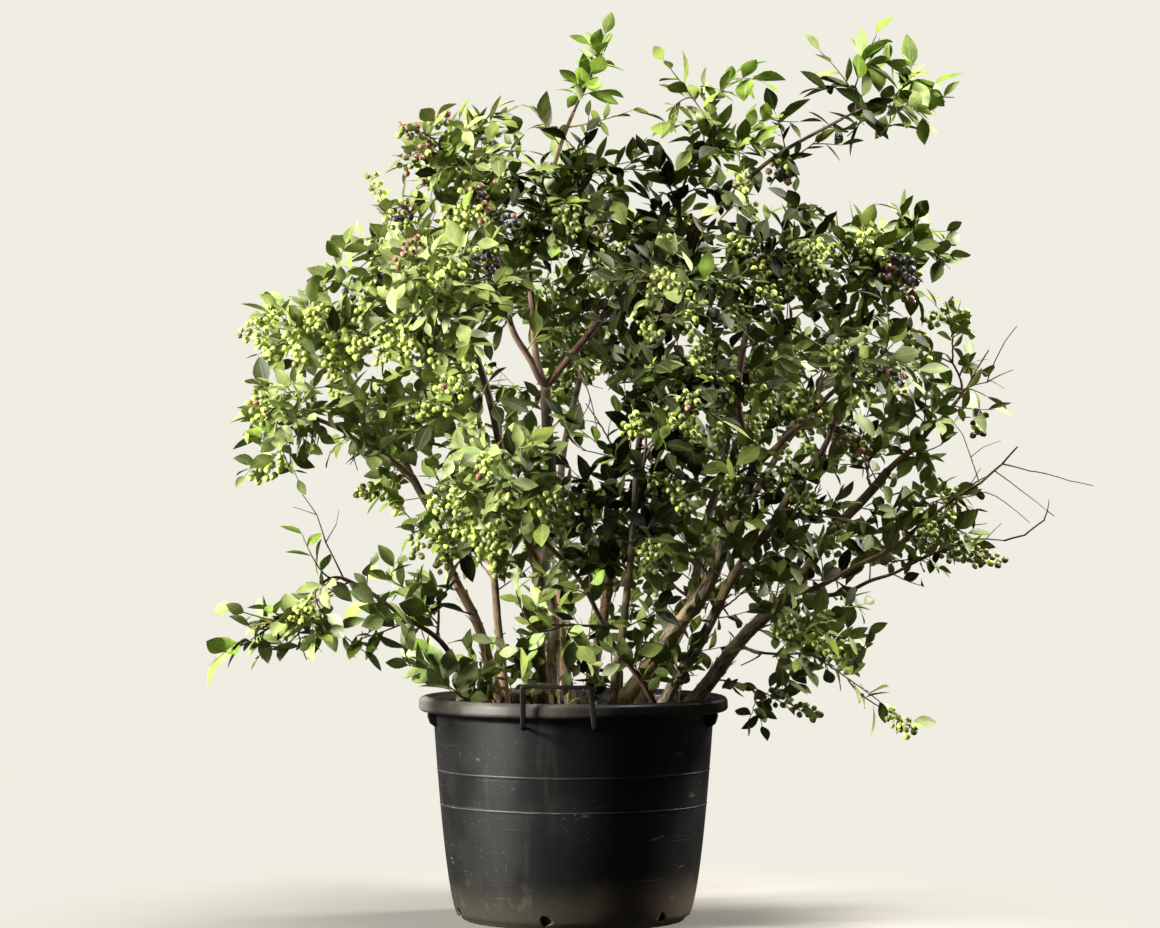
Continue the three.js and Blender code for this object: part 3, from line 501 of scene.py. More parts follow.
def across(heading):
    """Two directions at right angles to each heading and to each other."""
    ref = np.where(np.abs(heading[..., 2:3]) < 0.9, UP, np.array([1.0, 0.0, 0.0]))
    first = unit(np.cross(ref, heading))
    return first, np.cross(heading, first)


def joints_of(start, bend, tip, shares, flats):
    """Places along a twig where others can start, so many round it at each share, with the way each would
    leave: the heading, leaned outwards."""
    shares = np.repeat(shares, flats)[:, None]
    point, heading = curve_at(start, bend, tip, shares)
    a, b = across(heading)
    turn = (np.arange(len(shares)) * (2 * np.pi / flats) + np.pi / flats)[:, None]
    return np.hstack([point, unit(heading + FORK_LEAN * turned(a, b, turn))])


# the share of its way that a twig follows its heading, the shares of it where others start, how far out in
# its mass it ends, and the shortest and longest way to it
LEADER = {"follow": 0.4, "forks": np.array([0.27, 0.4, 0.6, 0.74, 0.86])}
SHOOT = {"follow": 0.45, "forks": np.array([0.4, 0.64]), "reach": (0.75, 0.95)}
OUTER = SHOOT | {"follow": 0.3}  # a shoot to a given tip
SEATS = np.arange(0.16, 0.97, 0.08)  # the shares of a leader or shoot where finer twigs can start
TWIG = {"follow": 0.4, "forks": SEATS[2::2], "reach": (0.2, 0.98), "between": (0.022, 0.12)}
FORK_LEAN = 0.8  # how far the way out of a joint leans off the heading
TURNING = 1.6  # the cost of a way is its length times this, less the cosine of the turn into it
ROUTE = np.linspace(0.12, 1, 8)[:, None]  # the shares of a new twig that have to be clear
TYPICAL = {"radius": 0.115, "shoots": 4, "twigs": 42}  # a mass of middling size
TRIES = 60  # how many places a mass offers its shoots
LEAD_SHORT = 0.035  # how far before the lead the shoot to it ends
MIDWAY_RADIUS = 0.0032  # of a leader that starts along a limb, not at its tip
LEADER_TIP = 0.0018
# radii at the foot and the tip of each kind
GIRTH = {
    "shoot": (0.0018, 0.0009), "spray": (0.0019, 0.0009), "twig": (0.0012, 0.0006),
    "side": (0.0014, 0.0006), "sprout": (0.0013, 0.0007), "bare": (0.0022, 0.0008),
    "bare fork": (0.0014, 0.0006),
}


class Sprig:
    """What grows from one seat: every new twig starts at the joint from which it is nearest, counting a
    turn against it, and is left out where its way there is not clear."""

    def __init__(self, twigs, mass):
        self.twigs, self.mass, self.joints, self.first = twigs, mass, [], len(twigs.rows)

    def add(self, start, heading, target, habit, radii, kind):
        bend = self.twigs.lead(start, heading, target, habit["follow"], radii, kind, self.mass)
        self.joints.append(joints_of(start, bend, target, habit["forks"], 3))

    def grow(self, target, clear, habit, kind):
        pool = np.vstack(self.joints)
        way = target - pool[:, :3]
        far = np.linalg.norm(way, axis=1)
        cost = far * (TURNING - (unit(way) * pool[:, 3:]).sum(1))
        shortest, longest = habit.get("between", (0, np.inf))
        cost[(far < shortest) | (far > longest)] = np.inf
        best = cost.argmin()
        start, heading = pool[best, :3], pool[best, 3:]
        bend = start + heading * habit["follow"] * far[best]
        route = curve_at(start, bend, target, ROUTE)[0]
        if np.isfinite(cost[best]) and clear(route).all():
            self.add(start, heading, target, habit, GIRTH[kind], kind)
            return True
        return False

    def open_joints(self, kinds):
        """Makes the joints anew, closer together, on what has grown so far."""
        grown = [row for row in self.twigs.rows[self.first:] if row[4] in kinds]
        self.joints = [joints_of(*row[:3], SEATS, 5) for row in grown]

    def finer(self, target, clear):
        """Grows a leafy twig to a target, where that is clear and not in an open place."""
        if clear(target[None])[0] and not in_sky(target[None])[0]:
            self.grow(target, clear, TWIG, "twig")


def near_line(points, start, end, reach):
    """True within a reach of the straight line from start to end."""
    share = np.clip(((points - start) * (end - start)).sum(-1) / ((end - start) ** 2).sum(), 0, 1)
    return np.linalg.norm(points - start - share[:, None] * (end - start), axis=-1) < reach


def in_reach(points, name, margin=0.0):
    """True in a mass's ellipsoid, and near the lines to its lead and to its further tips."""
    hit = in_space(points, name, margin)
    for tip in [MASSES[name][4]] + SHOOT_TIPS.get(name, []):
        hit |= near_line(points, vec(MASSES[name][2]), vec(tip), SHOOT_GIRTH + margin / 2)
    return hit


SHOOT_GIRTH = 0.046  # how far the space round a shoot reaches


def grow_mass(name, seed, twigs):
    """The leading twig runs from the limb through the middle of the mass towards its lead. Shoots leave it
    for the lead, for the further tips, and for evenly spread places near the edge, and bear the finer
    twigs."""
    on, share, centre, _, lead = MASSES[name]
    centre, lead = vec(centre), vec(lead)
    limb = limbs()[on]
    seat, heading = limb.at(share)
    if share < 1:
        out = centre - seat
        heading = unit(out - out.dot(heading) * heading)
    width = limb.radii[1] * 0.95 if share == 1 else MIDWAY_RADIUS
    mass_scale = mean_radius(name) / TYPICAL["radius"]
    sprig = Sprig(twigs, name)

    def free(points):
        return in_cell(points, name) & out_of_pot(points)

    def inside(points):
        return free(points) & in_reach(points, name)

    end = lerp(centre, lead, 0.2)
    sprig.add(seat, heading, end, LEADER, (width, LEADER_TIP), "leader")
    tips = [lead + unit(centre - lead) * LEAD_SHORT] + [vec(tip) for tip in SHOOT_TIPS.get(name, [])]
    for tip in tips:
        sprig.grow(tip, out_of_pot, OUTER, "shoot")
    wanted = round(TYPICAL["shoots"] * mass_scale**1.5) - 1
    for k in range(TRIES):
        if wanted <= 0:
            break
        target = spot_in(name, k, seed, SHOOT["reach"])
        if free(target[None])[0]:
            wanted -= sprig.grow(target, inside, SHOOT, "shoot")
    sprig.open_joints(("leader", "shoot"))
    for k in range(round(TYPICAL["twigs"] * mass_scale**2 * FULLNESS.get(name, 1))):
        sprig.finer(spot_in(name, k, seed + 0.5, TWIG["reach"]), inside)


def grow_sprays(twigs):
    """Each spray is a shoot from a limb, with finer twigs whose tips lie evenly round its outer part."""
    for number, (on, share, tip, count) in enumerate(SPRAYS):
        seat, along = limbs()[on].at(share)
        tip = vec(tip)
        out = tip - seat
        heading = unit(unit(out - out.dot(along) * along) + 0.7 * along)
        sprig = Sprig(twigs, on)
        sprig.add(seat, heading, tip, SHOOT, GIRTH["spray"], "shoot")
        sprig.open_joints(("shoot",))
        for k in range(count):
            aside, w = on_ball(*even(k, number))
            sprig.finer(lerp(seat, tip, 0.4 + 0.65 * w) + aside * SPRAY_GIRTH, out_of_pot)


SPRAY_GIRTH = 0.062  # how far the finer twigs of a spray spread


def grow_bare_twigs(twigs):
    """Twigs without leaves, straight from a limb, that fork to one side and then to the other."""
    for on, share, tip in BARE_TWIGS:
        (seat, along), tip = limbs()[on].at(share), vec(tip)
        far = np.linalg.norm(tip - seat)
        heading = unit(unit(tip - seat) + 0.8 * along)
        bend = twigs.lead(seat, heading, tip, OUTER["follow"], GIRTH["bare"], "dead", on)
        for fork, side in ((0.45, 1), (0.68, -1)):
            point, way = curve_at(seat, bend, tip, fork)
            end = point + 0.3 * far * unit(way + 0.75 * side * across(way)[1])
            twigs.lead(point, way, end, OUTER["follow"], GIRTH["bare fork"], "dead", on)


def grow_dead_wood(twigs):
    """Dead branches that run from bend to bend and thin out towards their tips."""
    for on, radius, bends in ((on, *branch) for on, branches in DEAD_WOOD.items() for branch in branches):
        points = vec(bends)
        radii = np.linspace(1, 0.5, len(points)) * radius * MM
        for start, tip, *ends in zip(points, points[1:], radii, radii[1:]):
            rise = 0.03 * np.linalg.norm(tip - start) * UP
            twigs.add(start, lerp(start, tip, 0.5) + rise, tip, ends, "dead", on)


def grow_side_shoots(twigs, rng):
    """Short leafy shoots that leave a limb at even shares, turned round it by the golden angle."""
    for name, (first, last, count, reach) in SIDE_SHOOTS.items():
        limb = limbs()[name]
        share = np.linspace(first, last, count) + rng.uniform(-0.02, 0.02, count)
        point, heading = limb.at(share)
        a, b = across(heading)
        turn = (np.arange(count) * GOLDEN_ANGLE + rng.uniform(0, 6))[:, None]
        outward = turned(a, b, turn)
        length = reach * MM * rng.uniform(0.7, 1.2, count)[:, None]
        bend = point + length * 0.45 * unit(outward + 0.5 * heading)
        tip = point + length * unit(outward + 0.25 * heading + 0.35 * UP)
        middle = curve_at(point, bend, tip, 0.5)[0]
        for i in range(count):
            line = np.array([middle[i], tip[i]])
            if not (in_pot(line) | in_sky(line)).any():
                twigs.add(point[i], bend[i], tip[i], GIRTH["side"], "side", name)


def grow_sprouts(twigs):
    """Young shoots that rise from the soil and lean over to their tips."""
    for i, (foot, tip) in enumerate(SPROUTS):
        start, end = vec((*foot, SOIL_LEVEL - 5)), vec(tip)
        bend = start + UP * 0.6 * np.linalg.norm(end - start)
        twigs.add(start, bend, end, GIRTH["sprout"], "sprout", f"sprout_{i}")


@functools.cache
def plant():
    """The whole plant's twigs, grown once."""
    twigs = Twigs()
    for seed, name in enumerate(MASSES, start=1):
        grow_mass(name, seed, twigs)
    grow_sprays(twigs)
    grow_bare_twigs(twigs)
    grow_dead_wood(twigs)
    grow_side_shoots(twigs, np.random.default_rng(SEED))
    grow_sprouts(twigs)
    return twigs


# -------- surfaces


NO_TRIS = np.zeros((0, 3), int)


def grid_faces(rows, columns, wrap=True):
    """Quads of a grid of points, row by row, that closes on itself across its columns if wrap is set."""
    last = columns if wrap else columns - 1
    row, column = np.meshgrid(np.arange(rows - 1), np.arange(last), indexing="ij")
    here, after = row * columns + column, row * columns + (column + 1) % columns
    return np.stack([here, after, after + columns, here + columns], axis=-1).reshape(-1, 4)


def fan(centre, ring, flip=False):
    """Triangles from a centre to a closed ring."""
    after = np.roll(ring, -1)
    return np.stack([np.full(len(ring), centre), after if flip else ring, ring if flip else after], axis=-1)


def end_fans(rows, sides, flip=False):
    """Triangles that close a tube of rings, whose two end points come after the points of its rings."""
    ring, first, last = np.arange(sides), rows * sides, (rows - 1) * sides
    return np.concatenate([fan(first, ring, not flip), fan(first + 1, last + ring, flip)])


def many(points, quads, tris=NO_TRIS, uv=None):
    """Like meshes as one: the points of each, and the faces of the first again for each of them."""
    first = (np.arange(len(points)) * points.shape[1])[:, None, None]
    quads, tris = ((faces + first).reshape(-1, faces.shape[1]) for faces in (quads, tris))
    return points.reshape(-1, 3), quads, tris, uv


def around(radius, turn, height):
    """Points round the Z axis, at a radius, a turn and a height."""
    return np.stack(np.broadcast_arrays(radius * np.cos(turn), radius * np.sin(turn), height), axis=-1)


class Piece:
    """Collects points, faces and a UV of each point, and becomes one mesh object on the frame."""

    def __init__(self, *meshes):
        self.points, self.quads, self.tris, self.uv = [], [], [], []
        self.size = 0
        for mesh in meshes:
            self.add(*mesh)

    def add(self, points, quads, tris=NO_TRIS, uv=None):
        self.quads.append(quads + self.size)
        self.tris.append(tris + self.size)
        self.points.append(points)
        self.uv.append(np.zeros((len(points), 2)) if uv is None else uv)
        self.size += len(points)

    def thing(self, name, material, smooth=True):
        """The collected mesh as an object of the scene."""
        kept = self.points, self.uv, self.quads, self.tris
        points, uv, quads, tris = (np.concatenate(rows) for rows in kept)
        mesh = bpy.data.meshes.new(name)
        corners = np.concatenate([quads.ravel(), tris.ravel()]).astype(np.int32)
        starts = np.concatenate([np.arange(len(quads)) * 4, len(quads) * 4 + np.arange(len(tris)) * 3])
        mesh.vertices.add(len(points))
        mesh.vertices.foreach_set("co", points.astype(np.float32).ravel())
        mesh.loops.add(len(corners))
        mesh.loops.foreach_set("vertex_index", corners)
        mesh.polygons.add(len(starts))
        mesh.polygons.foreach_set("loop_start", starts.astype(np.int32))
        mesh.polygons.foreach_set("use_smooth", np.full(len(starts), smooth))
        mesh.update(calc_edges=True)
        layer = mesh.uv_layers.new(name="UVMap")
        layer.data.foreach_set("uv", uv[corners].astype(np.float32).ravel())
        mesh.materials.append(material)
        return show(name, mesh)

    def build(self, name, material, slot, nodes=(), smooth=True):
        """The object, attached to its body, with the nodes that it replaces hidden. The slot is not used.
        """
        thing = self.thing(name, material, smooth)
        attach(thing, "root")
        if nodes:
            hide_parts(*nodes)
        return thing


def show(name, data):
    """A new object of the scene."""
    thing = bpy.data.objects.new(name, data)
    bpy.context.scene.collection.objects.link(thing)
    return thing


def tubes(paths, radii, sides, length_uv=1.0):
    """Round sections carried along paths: each ring is its path's point plus its radius times the cosine
    and sine of the turn along two directions across the path. A point closes each end."""
    count, rings = paths.shape[:2]
    heading = unit(np.gradient(paths, axis=1))
    chord = unit(paths[:, -1] - paths[:, 0])
    ref, _ = across(chord)
    a = unit(ref[:, None] - (ref[:, None] * heading).sum(-1, keepdims=True) * heading)
    b = np.cross(heading, a)
    ring = turned(a[:, :, None], b[:, :, None], turns(sides)[:, None])
    shell = paths[:, :, None] + ring * radii[..., None]
    points = np.concatenate([shell.reshape(count, -1, 3), paths[:, [0, -1]]], axis=1)
    u = np.append(np.tile(np.linspace(0, 1, sides), rings), [0, 0])
    v = np.append(np.repeat(np.linspace(0, 1, rings), sides), [0, 1]) * length_uv
    uv = np.tile(np.stack([u, v], axis=1), (count, 1))
    return many(points, grid_faces(rings, sides), end_fans(rings, sides), uv)


def wavy(seed, u, v, first, waves):
    """A smooth random field on a closed strip: a sum of cosines with whole turns in u and any rate in v."""
    rng = np.random.default_rng(seed)
    total = np.zeros(np.broadcast(u, v).shape)
    for _ in range(waves):
        whole = rng.integers(first, first + waves)
        rate, phase, size = rng.uniform(0.5, 3), rng.uniform(0, 6.3), rng.uniform(0.5, 1)
        total += size * np.cos(2 * np.pi * whole * u + rate * v + phase)
    return total / waves


# -------- shader parts


def lighter(colour):
    return np.minimum(colour * 1.15, 1)


def linear(colour):
    """A display colour, 0 to 1, as the renderer's linear colour with alpha."""
    c = np.asarray(colour, float)
    return (*np.where(c <= 0.04045, c / 12.92, ((c + 0.055) / 1.055) ** 2.4), 1.0)


def put(tree, kind, inputs=None, **settings):
    """Adds a shader node, with settings, and inputs that are values or other nodes' outputs."""
    node = tree.nodes.new("ShaderNode" + kind)
    for key, value in settings.items():
        setattr(node, key, value)
    for key, value in (inputs or {}).items():
        if isinstance(value, bpy.types.NodeSocket):
            tree.links.new(value, node.inputs[key])
        else:
            node.inputs[key].default_value = value
    return node


def mix(tree, share, a, b):
    """One colour blended into another."""
    return put(tree, "Mix", {0: share, 6: a, 7: b}, data_type="RGBA").outputs[2]


def maths(tree, operation, *values):
    return put(tree, "Math", dict(enumerate(values)), operation=operation).outputs[0]


def times(tree, a, b):
    return maths(tree, "MULTIPLY", a, b)


def parts_of(tree, vector):
    """The X, Y and Z of a vector."""
    return put(tree, "SeparateXYZ", {"Vector": vector}).outputs


def ramp(tree, value, low, high, to_low=0.0, to_high=1.0):
    """A value carried smoothly from one range to another, and held at its ends."""
    inputs = {"Value": value, "From Min": low, "From Max": high, "To Min": to_low, "To Max": to_high}
    return put(tree, "MapRange", inputs, interpolation_type="SMOOTHSTEP").outputs["Result"]


def new_group(name, inputs, outputs):
    """An empty shader group. inputs and outputs are (name, socket type, default) rows."""
    group = bpy.data.node_groups.new(name, "ShaderNodeTree")
    for rows, way in ((inputs, "INPUT"), (outputs, "OUTPUT")):
        for label, kind, default in rows:
            socket = group.interface.new_socket(label, in_out=way, socket_type=kind)
            if default is not None:
                socket.default_value = default
    return group, group.nodes.new("NodeGroupInput"), group.nodes.new("NodeGroupOutput")


FLOAT, VECTOR = "NodeSocketFloat", "NodeSocketVector"
LIMITS = ("Low", FLOAT, 0.4), ("High", FLOAT, 0.6)


@functools.cache
def mottle_group():
    """Soft patches: smooth noise between two limits."""
    rows = [("Vector", VECTOR, None), ("Scale", FLOAT, 10.0), *LIMITS]
    group, given, made = new_group("Soft patches", rows, [("Mask", FLOAT, None)])
    place, scale, low, high, _ = given.outputs
    noise = put(group, "TexNoise", {"Vector": place, "Scale": scale, "Detail": 4.0})
    group.links.new(ramp(group, noise.outputs["Fac"], low, high), made.inputs[0])
    return group


@functools.cache
def speck_group():
    """Small round specks at the cells of a scattered pattern, thinned out by soft patches."""
    rows = [("Vector", VECTOR, None), ("Scale", FLOAT, 80.0), ("Size", FLOAT, 0.15)]
    rows.append(("Thinning", FLOAT, 0.55))
    group, given, made = new_group("Specks", rows, [("Mask", FLOAT, None)])
    place, scale, size, thinning, _ = given.outputs
    cells = put(group, "TexVoronoi", {"Vector": place, "Scale": scale})
    patches = put(group, "TexNoise", {"Vector": place, "Scale": 9.0, "Detail": 2.0})
    near = ramp(group, cells.outputs["Distance"], size, 0.0)
    some = ramp(group, patches.outputs["Fac"], thinning, 0.75)
    group.links.new(times(group, near, some), made.inputs[0])
    return group


@functools.cache
def streak_group():
    """Streaks: noise that is drawn out along one axis of its vector by the scale given for each axis."""
    rows = [("Vector", VECTOR, None), ("Scales", VECTOR, (1.0, 1.0, 1.0)), *LIMITS]
    group, given, made = new_group("Streaks", rows, [("Mask", FLOAT, None), ("Raw", FLOAT, None)])
    place, scales, low, high, _ = given.outputs
    scaled = put(group, "VectorMath", {0: place, 1: scales}, operation="MULTIPLY")
    noise = put(group, "TexNoise", {"Vector": scaled.outputs[0], "Scale": 1.0, "Detail": 5.0})
    group.links.new(ramp(group, noise.outputs["Fac"], low, high), made.inputs[0])
    group.links.new(noise.outputs["Fac"], made.inputs[1])
    return group


def use(tree, group, place, **inputs):
    """Places a pattern's group in a material, with the coordinates it reads, and gives its outputs."""
    return put(tree, "Group", {"Vector": place, **inputs}, node_tree=group).outputs


def new_material(name, **constants):
    """A material with one Principled shader, whose constants are set on its own sockets."""
    material = bpy.data.materials.new(name)
    material.use_nodes = True
    tree = material.node_tree
    shader = tree.nodes["Principled BSDF"]
    for key, value in constants.items():
        shader.inputs[key.replace("_", " ")].default_value = value
    return material, tree, shader, put(tree, "TexCoord").outputs


def bump(tree, shader, height, strength, distance):
    """Lets a height tilt the shader's normal."""
    node = put(tree, "Bump", {"Height": height, "Strength": strength, "Distance": distance})
    tree.links.new(node.outputs["Normal"], shader.inputs["Normal"])


# -------- finishes


def leaf_material(name, base, light, rib, gloss):
    """A leaf: soft patches of two greens, a pale rib along the middle, and fine side veins that slant out
    from it, where the sine of a line across the blade is high."""
    material, tree, shader, coords = new_material(name, Roughness=0.5, Specular_IOR_Level=gloss)
    patches = use(tree, mottle_group(), coords["Object"], Scale=34.0, Low=0.35, High=0.68)[0]
    body = mix(tree, patches, linear(base), linear(light))
    length, breadth, _ = parts_of(tree, coords["UV"])
    off = maths(tree, "ABSOLUTE", maths(tree, "SUBTRACT", breadth, 0.5))
    middle = ramp(tree, off, 0.055, 0.012)
    slant = maths(tree, "SUBTRACT", times(tree, length, VEINS["along"]), times(tree, off, VEINS["slant"]))
    veins = times(tree, ramp(tree, maths(tree, "SINE", slant), 0.6, 1.0), VEINS["strength"])
    lines = maths(tree, "MAXIMUM", middle, veins)
    tree.links.new(mix(tree, lines, body, linear(rib)), shader.inputs["Base Color"])
    bump(tree, shader, middle, 0.2, 0.0005)
    return material


VEINS = {"along": 44.0, "slant": 26.0, "strength": 0.14}


def twig_material(name, base, light):
    """A young twig: smooth skin in two tones with small pale pores."""
    material, tree, shader, coords = new_material(name, Roughness=0.6)
    patches = use(tree, mottle_group(), coords["Object"], Scale=22.0, Low=0.4, High=0.62)[0]
    pores = use(tree, speck_group(), coords["Object"], Scale=420.0, Size=0.3, Thinning=0.4)[0]
    body = mix(tree, patches, linear(base), linear(light))
    body = mix(tree, times(tree, pores, 0.5), body, linear((0.62, 0.55, 0.42)))
    tree.links.new(body, shader.inputs["Base Color"])
    return material


def bark_material(name, tones, peel, painted_shade=0.8):
    """Bark: long fibres between a dark crack tone and a light one, warm patches where old skin has peeled,
    and painted shade: the dark tone higher up, inside the crown."""
    dark, light, warm = tones
    material, tree, shader, coords = new_material(name, Roughness=0.85)
    place, skin = coords["Object"], coords["UV"]
    fibres = use(tree, streak_group(), skin, Scales=(30.0, 5.0, 1.0), Low=0.34, High=0.62)
    fine = use(tree, streak_group(), skin, Scales=(95.0, 18.0, 1.0), Low=0.42, High=0.6)
    patches = use(tree, mottle_group(), place, Scale=16.0, Low=0.5 - 0.14 * peel, High=0.7 - 0.1 * peel)[0]
    body = mix(tree, fibres[0], linear(dark), linear(light))
    body = mix(tree, times(tree, patches, 0.35 + 0.6 * peel), body, linear(warm))
    body = mix(tree, times(tree, fine[0], 0.4), body, linear(dark))
    # painted shade: the bark takes the dark tone higher up, inside the crown
    upper = times(tree, ramp(tree, parts_of(tree, place)[2], 0.48, 0.75), painted_shade)
    body = mix(tree, upper, body, linear(np.asarray(dark) * 0.85))
    tree.links.new(body, shader.inputs["Base Color"])
    bump(tree, shader, maths(tree, "ADD", fibres[1], times(tree, fine[1], 0.5)), 0.6, 0.0016)
    return material


def berry_material(name, base, light, bloom):
    """A berry: two tones of skin under a pale waxy bloom that lies in patches, and a brown crown."""
    material, tree, shader, coords = new_material(name, Roughness=0.42)
    patches = use(tree, mottle_group(), coords["Object"], Scale=60.0, Low=0.35, High=0.65)[0]
    wax = use(tree, mottle_group(), coords["Object"], Scale=130.0, Low=0.45, High=0.7)[0]
    body = mix(tree, patches, linear(base), linear(light))
    body = mix(tree, times(tree, wax, 0.45), body, linear(bloom))
    crown = ramp(tree, parts_of(tree, coords["UV"])[1], 0.86, 0.97)
    body = mix(tree, times(tree, crown, 0.7), body, linear((0.42, 0.30, 0.20)))
    tree.links.new(body, shader.inputs["Base Color"])
    return material


def plastic_material(name, base, dirt_and_painted_light=1.0):
    """Satin black plastic: grey dust in specks and on what faces up, scuffs, fine scratches round the wall,
    drips down it and soil splashes at its foot. Painted light on the lit left: a lighter film in patches, a
    lighter rim, more of the dust on what faces up, and painted highlights along the seams, brightest on the
    left. Painted bounce light from the floor lightens the foot, and a painted reflection of the floor lies
    low on the right."""
    material, tree, shader, coords = new_material(name, Specular_IOR_Level=0.22)
    place = coords["Object"]
    across_x, _, height = parts_of(tree, place)
    haze = use(tree, mottle_group(), place, Scale=9.0, Low=0.36, High=0.74)[0]
    dust = use(tree, speck_group(), place, Scale=170.0, Size=0.17, Thinning=0.36)[0]
    grit = use(tree, speck_group(), place, Scale=75.0, Size=0.10, Thinning=0.45)[0]
    scuffs = use(tree, streak_group(), place, Scales=(22.0, 22.0, 60.0), Low=0.68, High=0.76)[0]
    scratches = use(tree, streak_group(), place, Scales=(5.0, 5.0, 330.0), Low=0.66, High=0.74)[0]
    drips = use(tree, streak_group(), place, Scales=(40.0, 40.0, 4.0), Low=0.56, High=0.76)[0]
    splash = use(tree, mottle_group(), place, Scale=40.0, Low=0.52, High=0.72)[0]
    # painted light: full on the left of the pot, where the key light falls, and fading out towards the
    # right
    painted_light_left = ramp(tree, across_x, 0.08, -0.16, 0.03, 1.0)
    upward = parts_of(tree, coords["Normal"])[2]
    # dust on what faces up, kept to the lit left: partly dust, partly painted light
    upward_dust_and_painted_light = times(tree, times(tree, ramp(tree, upward, 0.15, 0.95), ramp(tree, haze, -0.3, 0.9)), painted_light_left)
    # painted highlights along the two seams, brighter towards the lit left and broken into patches
    painted_seam_highlight = 0.0
    for seam in SEAMS:
        off = maths(tree, "ABSOLUTE", maths(tree, "SUBTRACT", height, seam * MM))
        painted_seam_highlight = maths(tree, "ADD", painted_seam_highlight, ramp(tree, off, 0.0018, 0.0006))
    painted_seam_highlight = times(tree, painted_seam_highlight, ramp(tree, splash, -0.8, 1.0))
    painted_seam_highlight = times(tree, painted_seam_highlight, ramp(tree, across_x, 0.16, -0.05, 0.4, 1.0))
    # painted light on the top of the rim, on the lit left
    rim = times(tree, ramp(tree, height, 0.335, 0.343), times(tree, painted_light_left, ramp(tree, haze, -0.5, 0.8)))
    # painted light: a lighter film in patches on the lit left
    painted_light_film = times(tree, ramp(tree, haze, -0.4, 0.9), painted_light_left)
    # painted bounce light from the floor: a lighter band round the foot, in a dust tint
    foot = ramp(tree, height, 0.085, 0.012)
    # painted reflection of the floor: a pale patch low on the right
    right = times(tree, ramp(tree, across_x, 0.0, 0.08), ramp(tree, haze, -0.3, 0.8))
    painted_floor_reflection = times(tree, ramp(tree, height, 0.1, 0.01), right)
    # tints over the black base: the film, the rim and the dust on what faces up are painted light on the
    # lit left, the foot band is painted bounce light, the right foot patch a painted reflection and the
    # seam lines painted highlights; drips, scratches, dust, grit and scuffs are the plastic's own dirt and
    # wear
    layers = (
        (painted_light_film, 0.12, (0.21, 0.21, 0.195)), (foot, 0.5, (0.30, 0.28, 0.235)), (rim, 0.5, (0.52, 0.50, 0.46)),
        (painted_floor_reflection, 0.75, (0.46, 0.41, 0.35)), (drips, 0.12, (0.36, 0.35, 0.33)),
        (scratches, 0.16, (0.50, 0.49, 0.47)), (painted_seam_highlight, 0.36, (0.46, 0.47, 0.45)),
        (upward_dust_and_painted_light, 0.6, (0.56, 0.54, 0.50)), (dust, 0.6, (0.56, 0.55, 0.52)), (grit, 0.8, (0.62, 0.60, 0.54)),
        (scuffs, 0.4, (0.52, 0.50, 0.46)),
    )
    body = linear(base)
    for mask, share, tint in layers:
        body = mix(tree, times(tree, mask, share * dirt_and_painted_light), body, linear(tint))
    soiled = times(tree, times(tree, ramp(tree, height, 0.11, 0.005), splash), 0.4)
    body = mix(tree, soiled, body, linear((0.30, 0.28, 0.20)))
    tree.links.new(body, shader.inputs["Base Color"])
    rough = maths(tree, "ADD", ramp(tree, haze, 0.0, 1.0, 0.38, 0.55), times(tree, soiled, 0.6))
    tree.links.new(rough, shader.inputs["Roughness"])
    pores = put(tree, "TexNoise", {"Vector": place, "Scale": 300.0, "Detail": 2.0}).outputs["Fac"]
    relief = maths(tree, "ADD", times(tree, pores, 0.25), maths(tree, "ADD", dust, scratches))
    bump(tree, shader, relief, 0.25, 0.0004)
    return material


def mulch_material(name, base, light):
    """Potting mix: crumbs and fibres from near black to brown."""
    material, tree, shader, coords = new_material(name, Roughness=0.95)
    crumbs = put(tree, "TexVoronoi", {"Vector": coords["Object"], "Scale": 240.0})
    red = put(tree, "SeparateColor", {"Color": crumbs.outputs["Color"]}).outputs[0]
    tone = ramp(tree, red, 0.1, 0.9)
    patches = use(tree, mottle_group(), coords["Object"], Scale=30.0, Low=0.4, High=0.65)[0]
    body = mix(tree, times(tree, tone, patches), linear(base), linear(light))
    tree.links.new(body, shader.inputs["Base Color"])
    bump(tree, shader, crumbs.outputs["Distance"], 0.8, 0.002)
    return material


# -------- pot, handles and soil


def wall_radius(z):
    """The wall bellies out from the base: its radius grows with the square root of the height."""
    return lerp(BASE_RADIUS, WALL_TOP_RADIUS, np.sqrt(np.clip(z, 0, WALL_TOP) / WALL_TOP))


def arc(centre, radius, first, last, steps):
    """Points of an arc in (radius, height), its angles in degrees from the outward direction."""
    angle = np.radians(np.linspace(first, last, steps))
    return np.stack([centre[0] + radius[0] * np.cos(angle), centre[1] + radius[1] * np.sin(angle)], axis=1)


SEAMS = (187, 242)  # heights of the two raised rings round the wall
WALL = 3.5  # thickness
FLOOR = 5  # height inside
MIX_GAP = 1.5  # between the wall and the mix
MIX_RADIUS = WALL_TOP_RADIUS - WALL - MIX_GAP


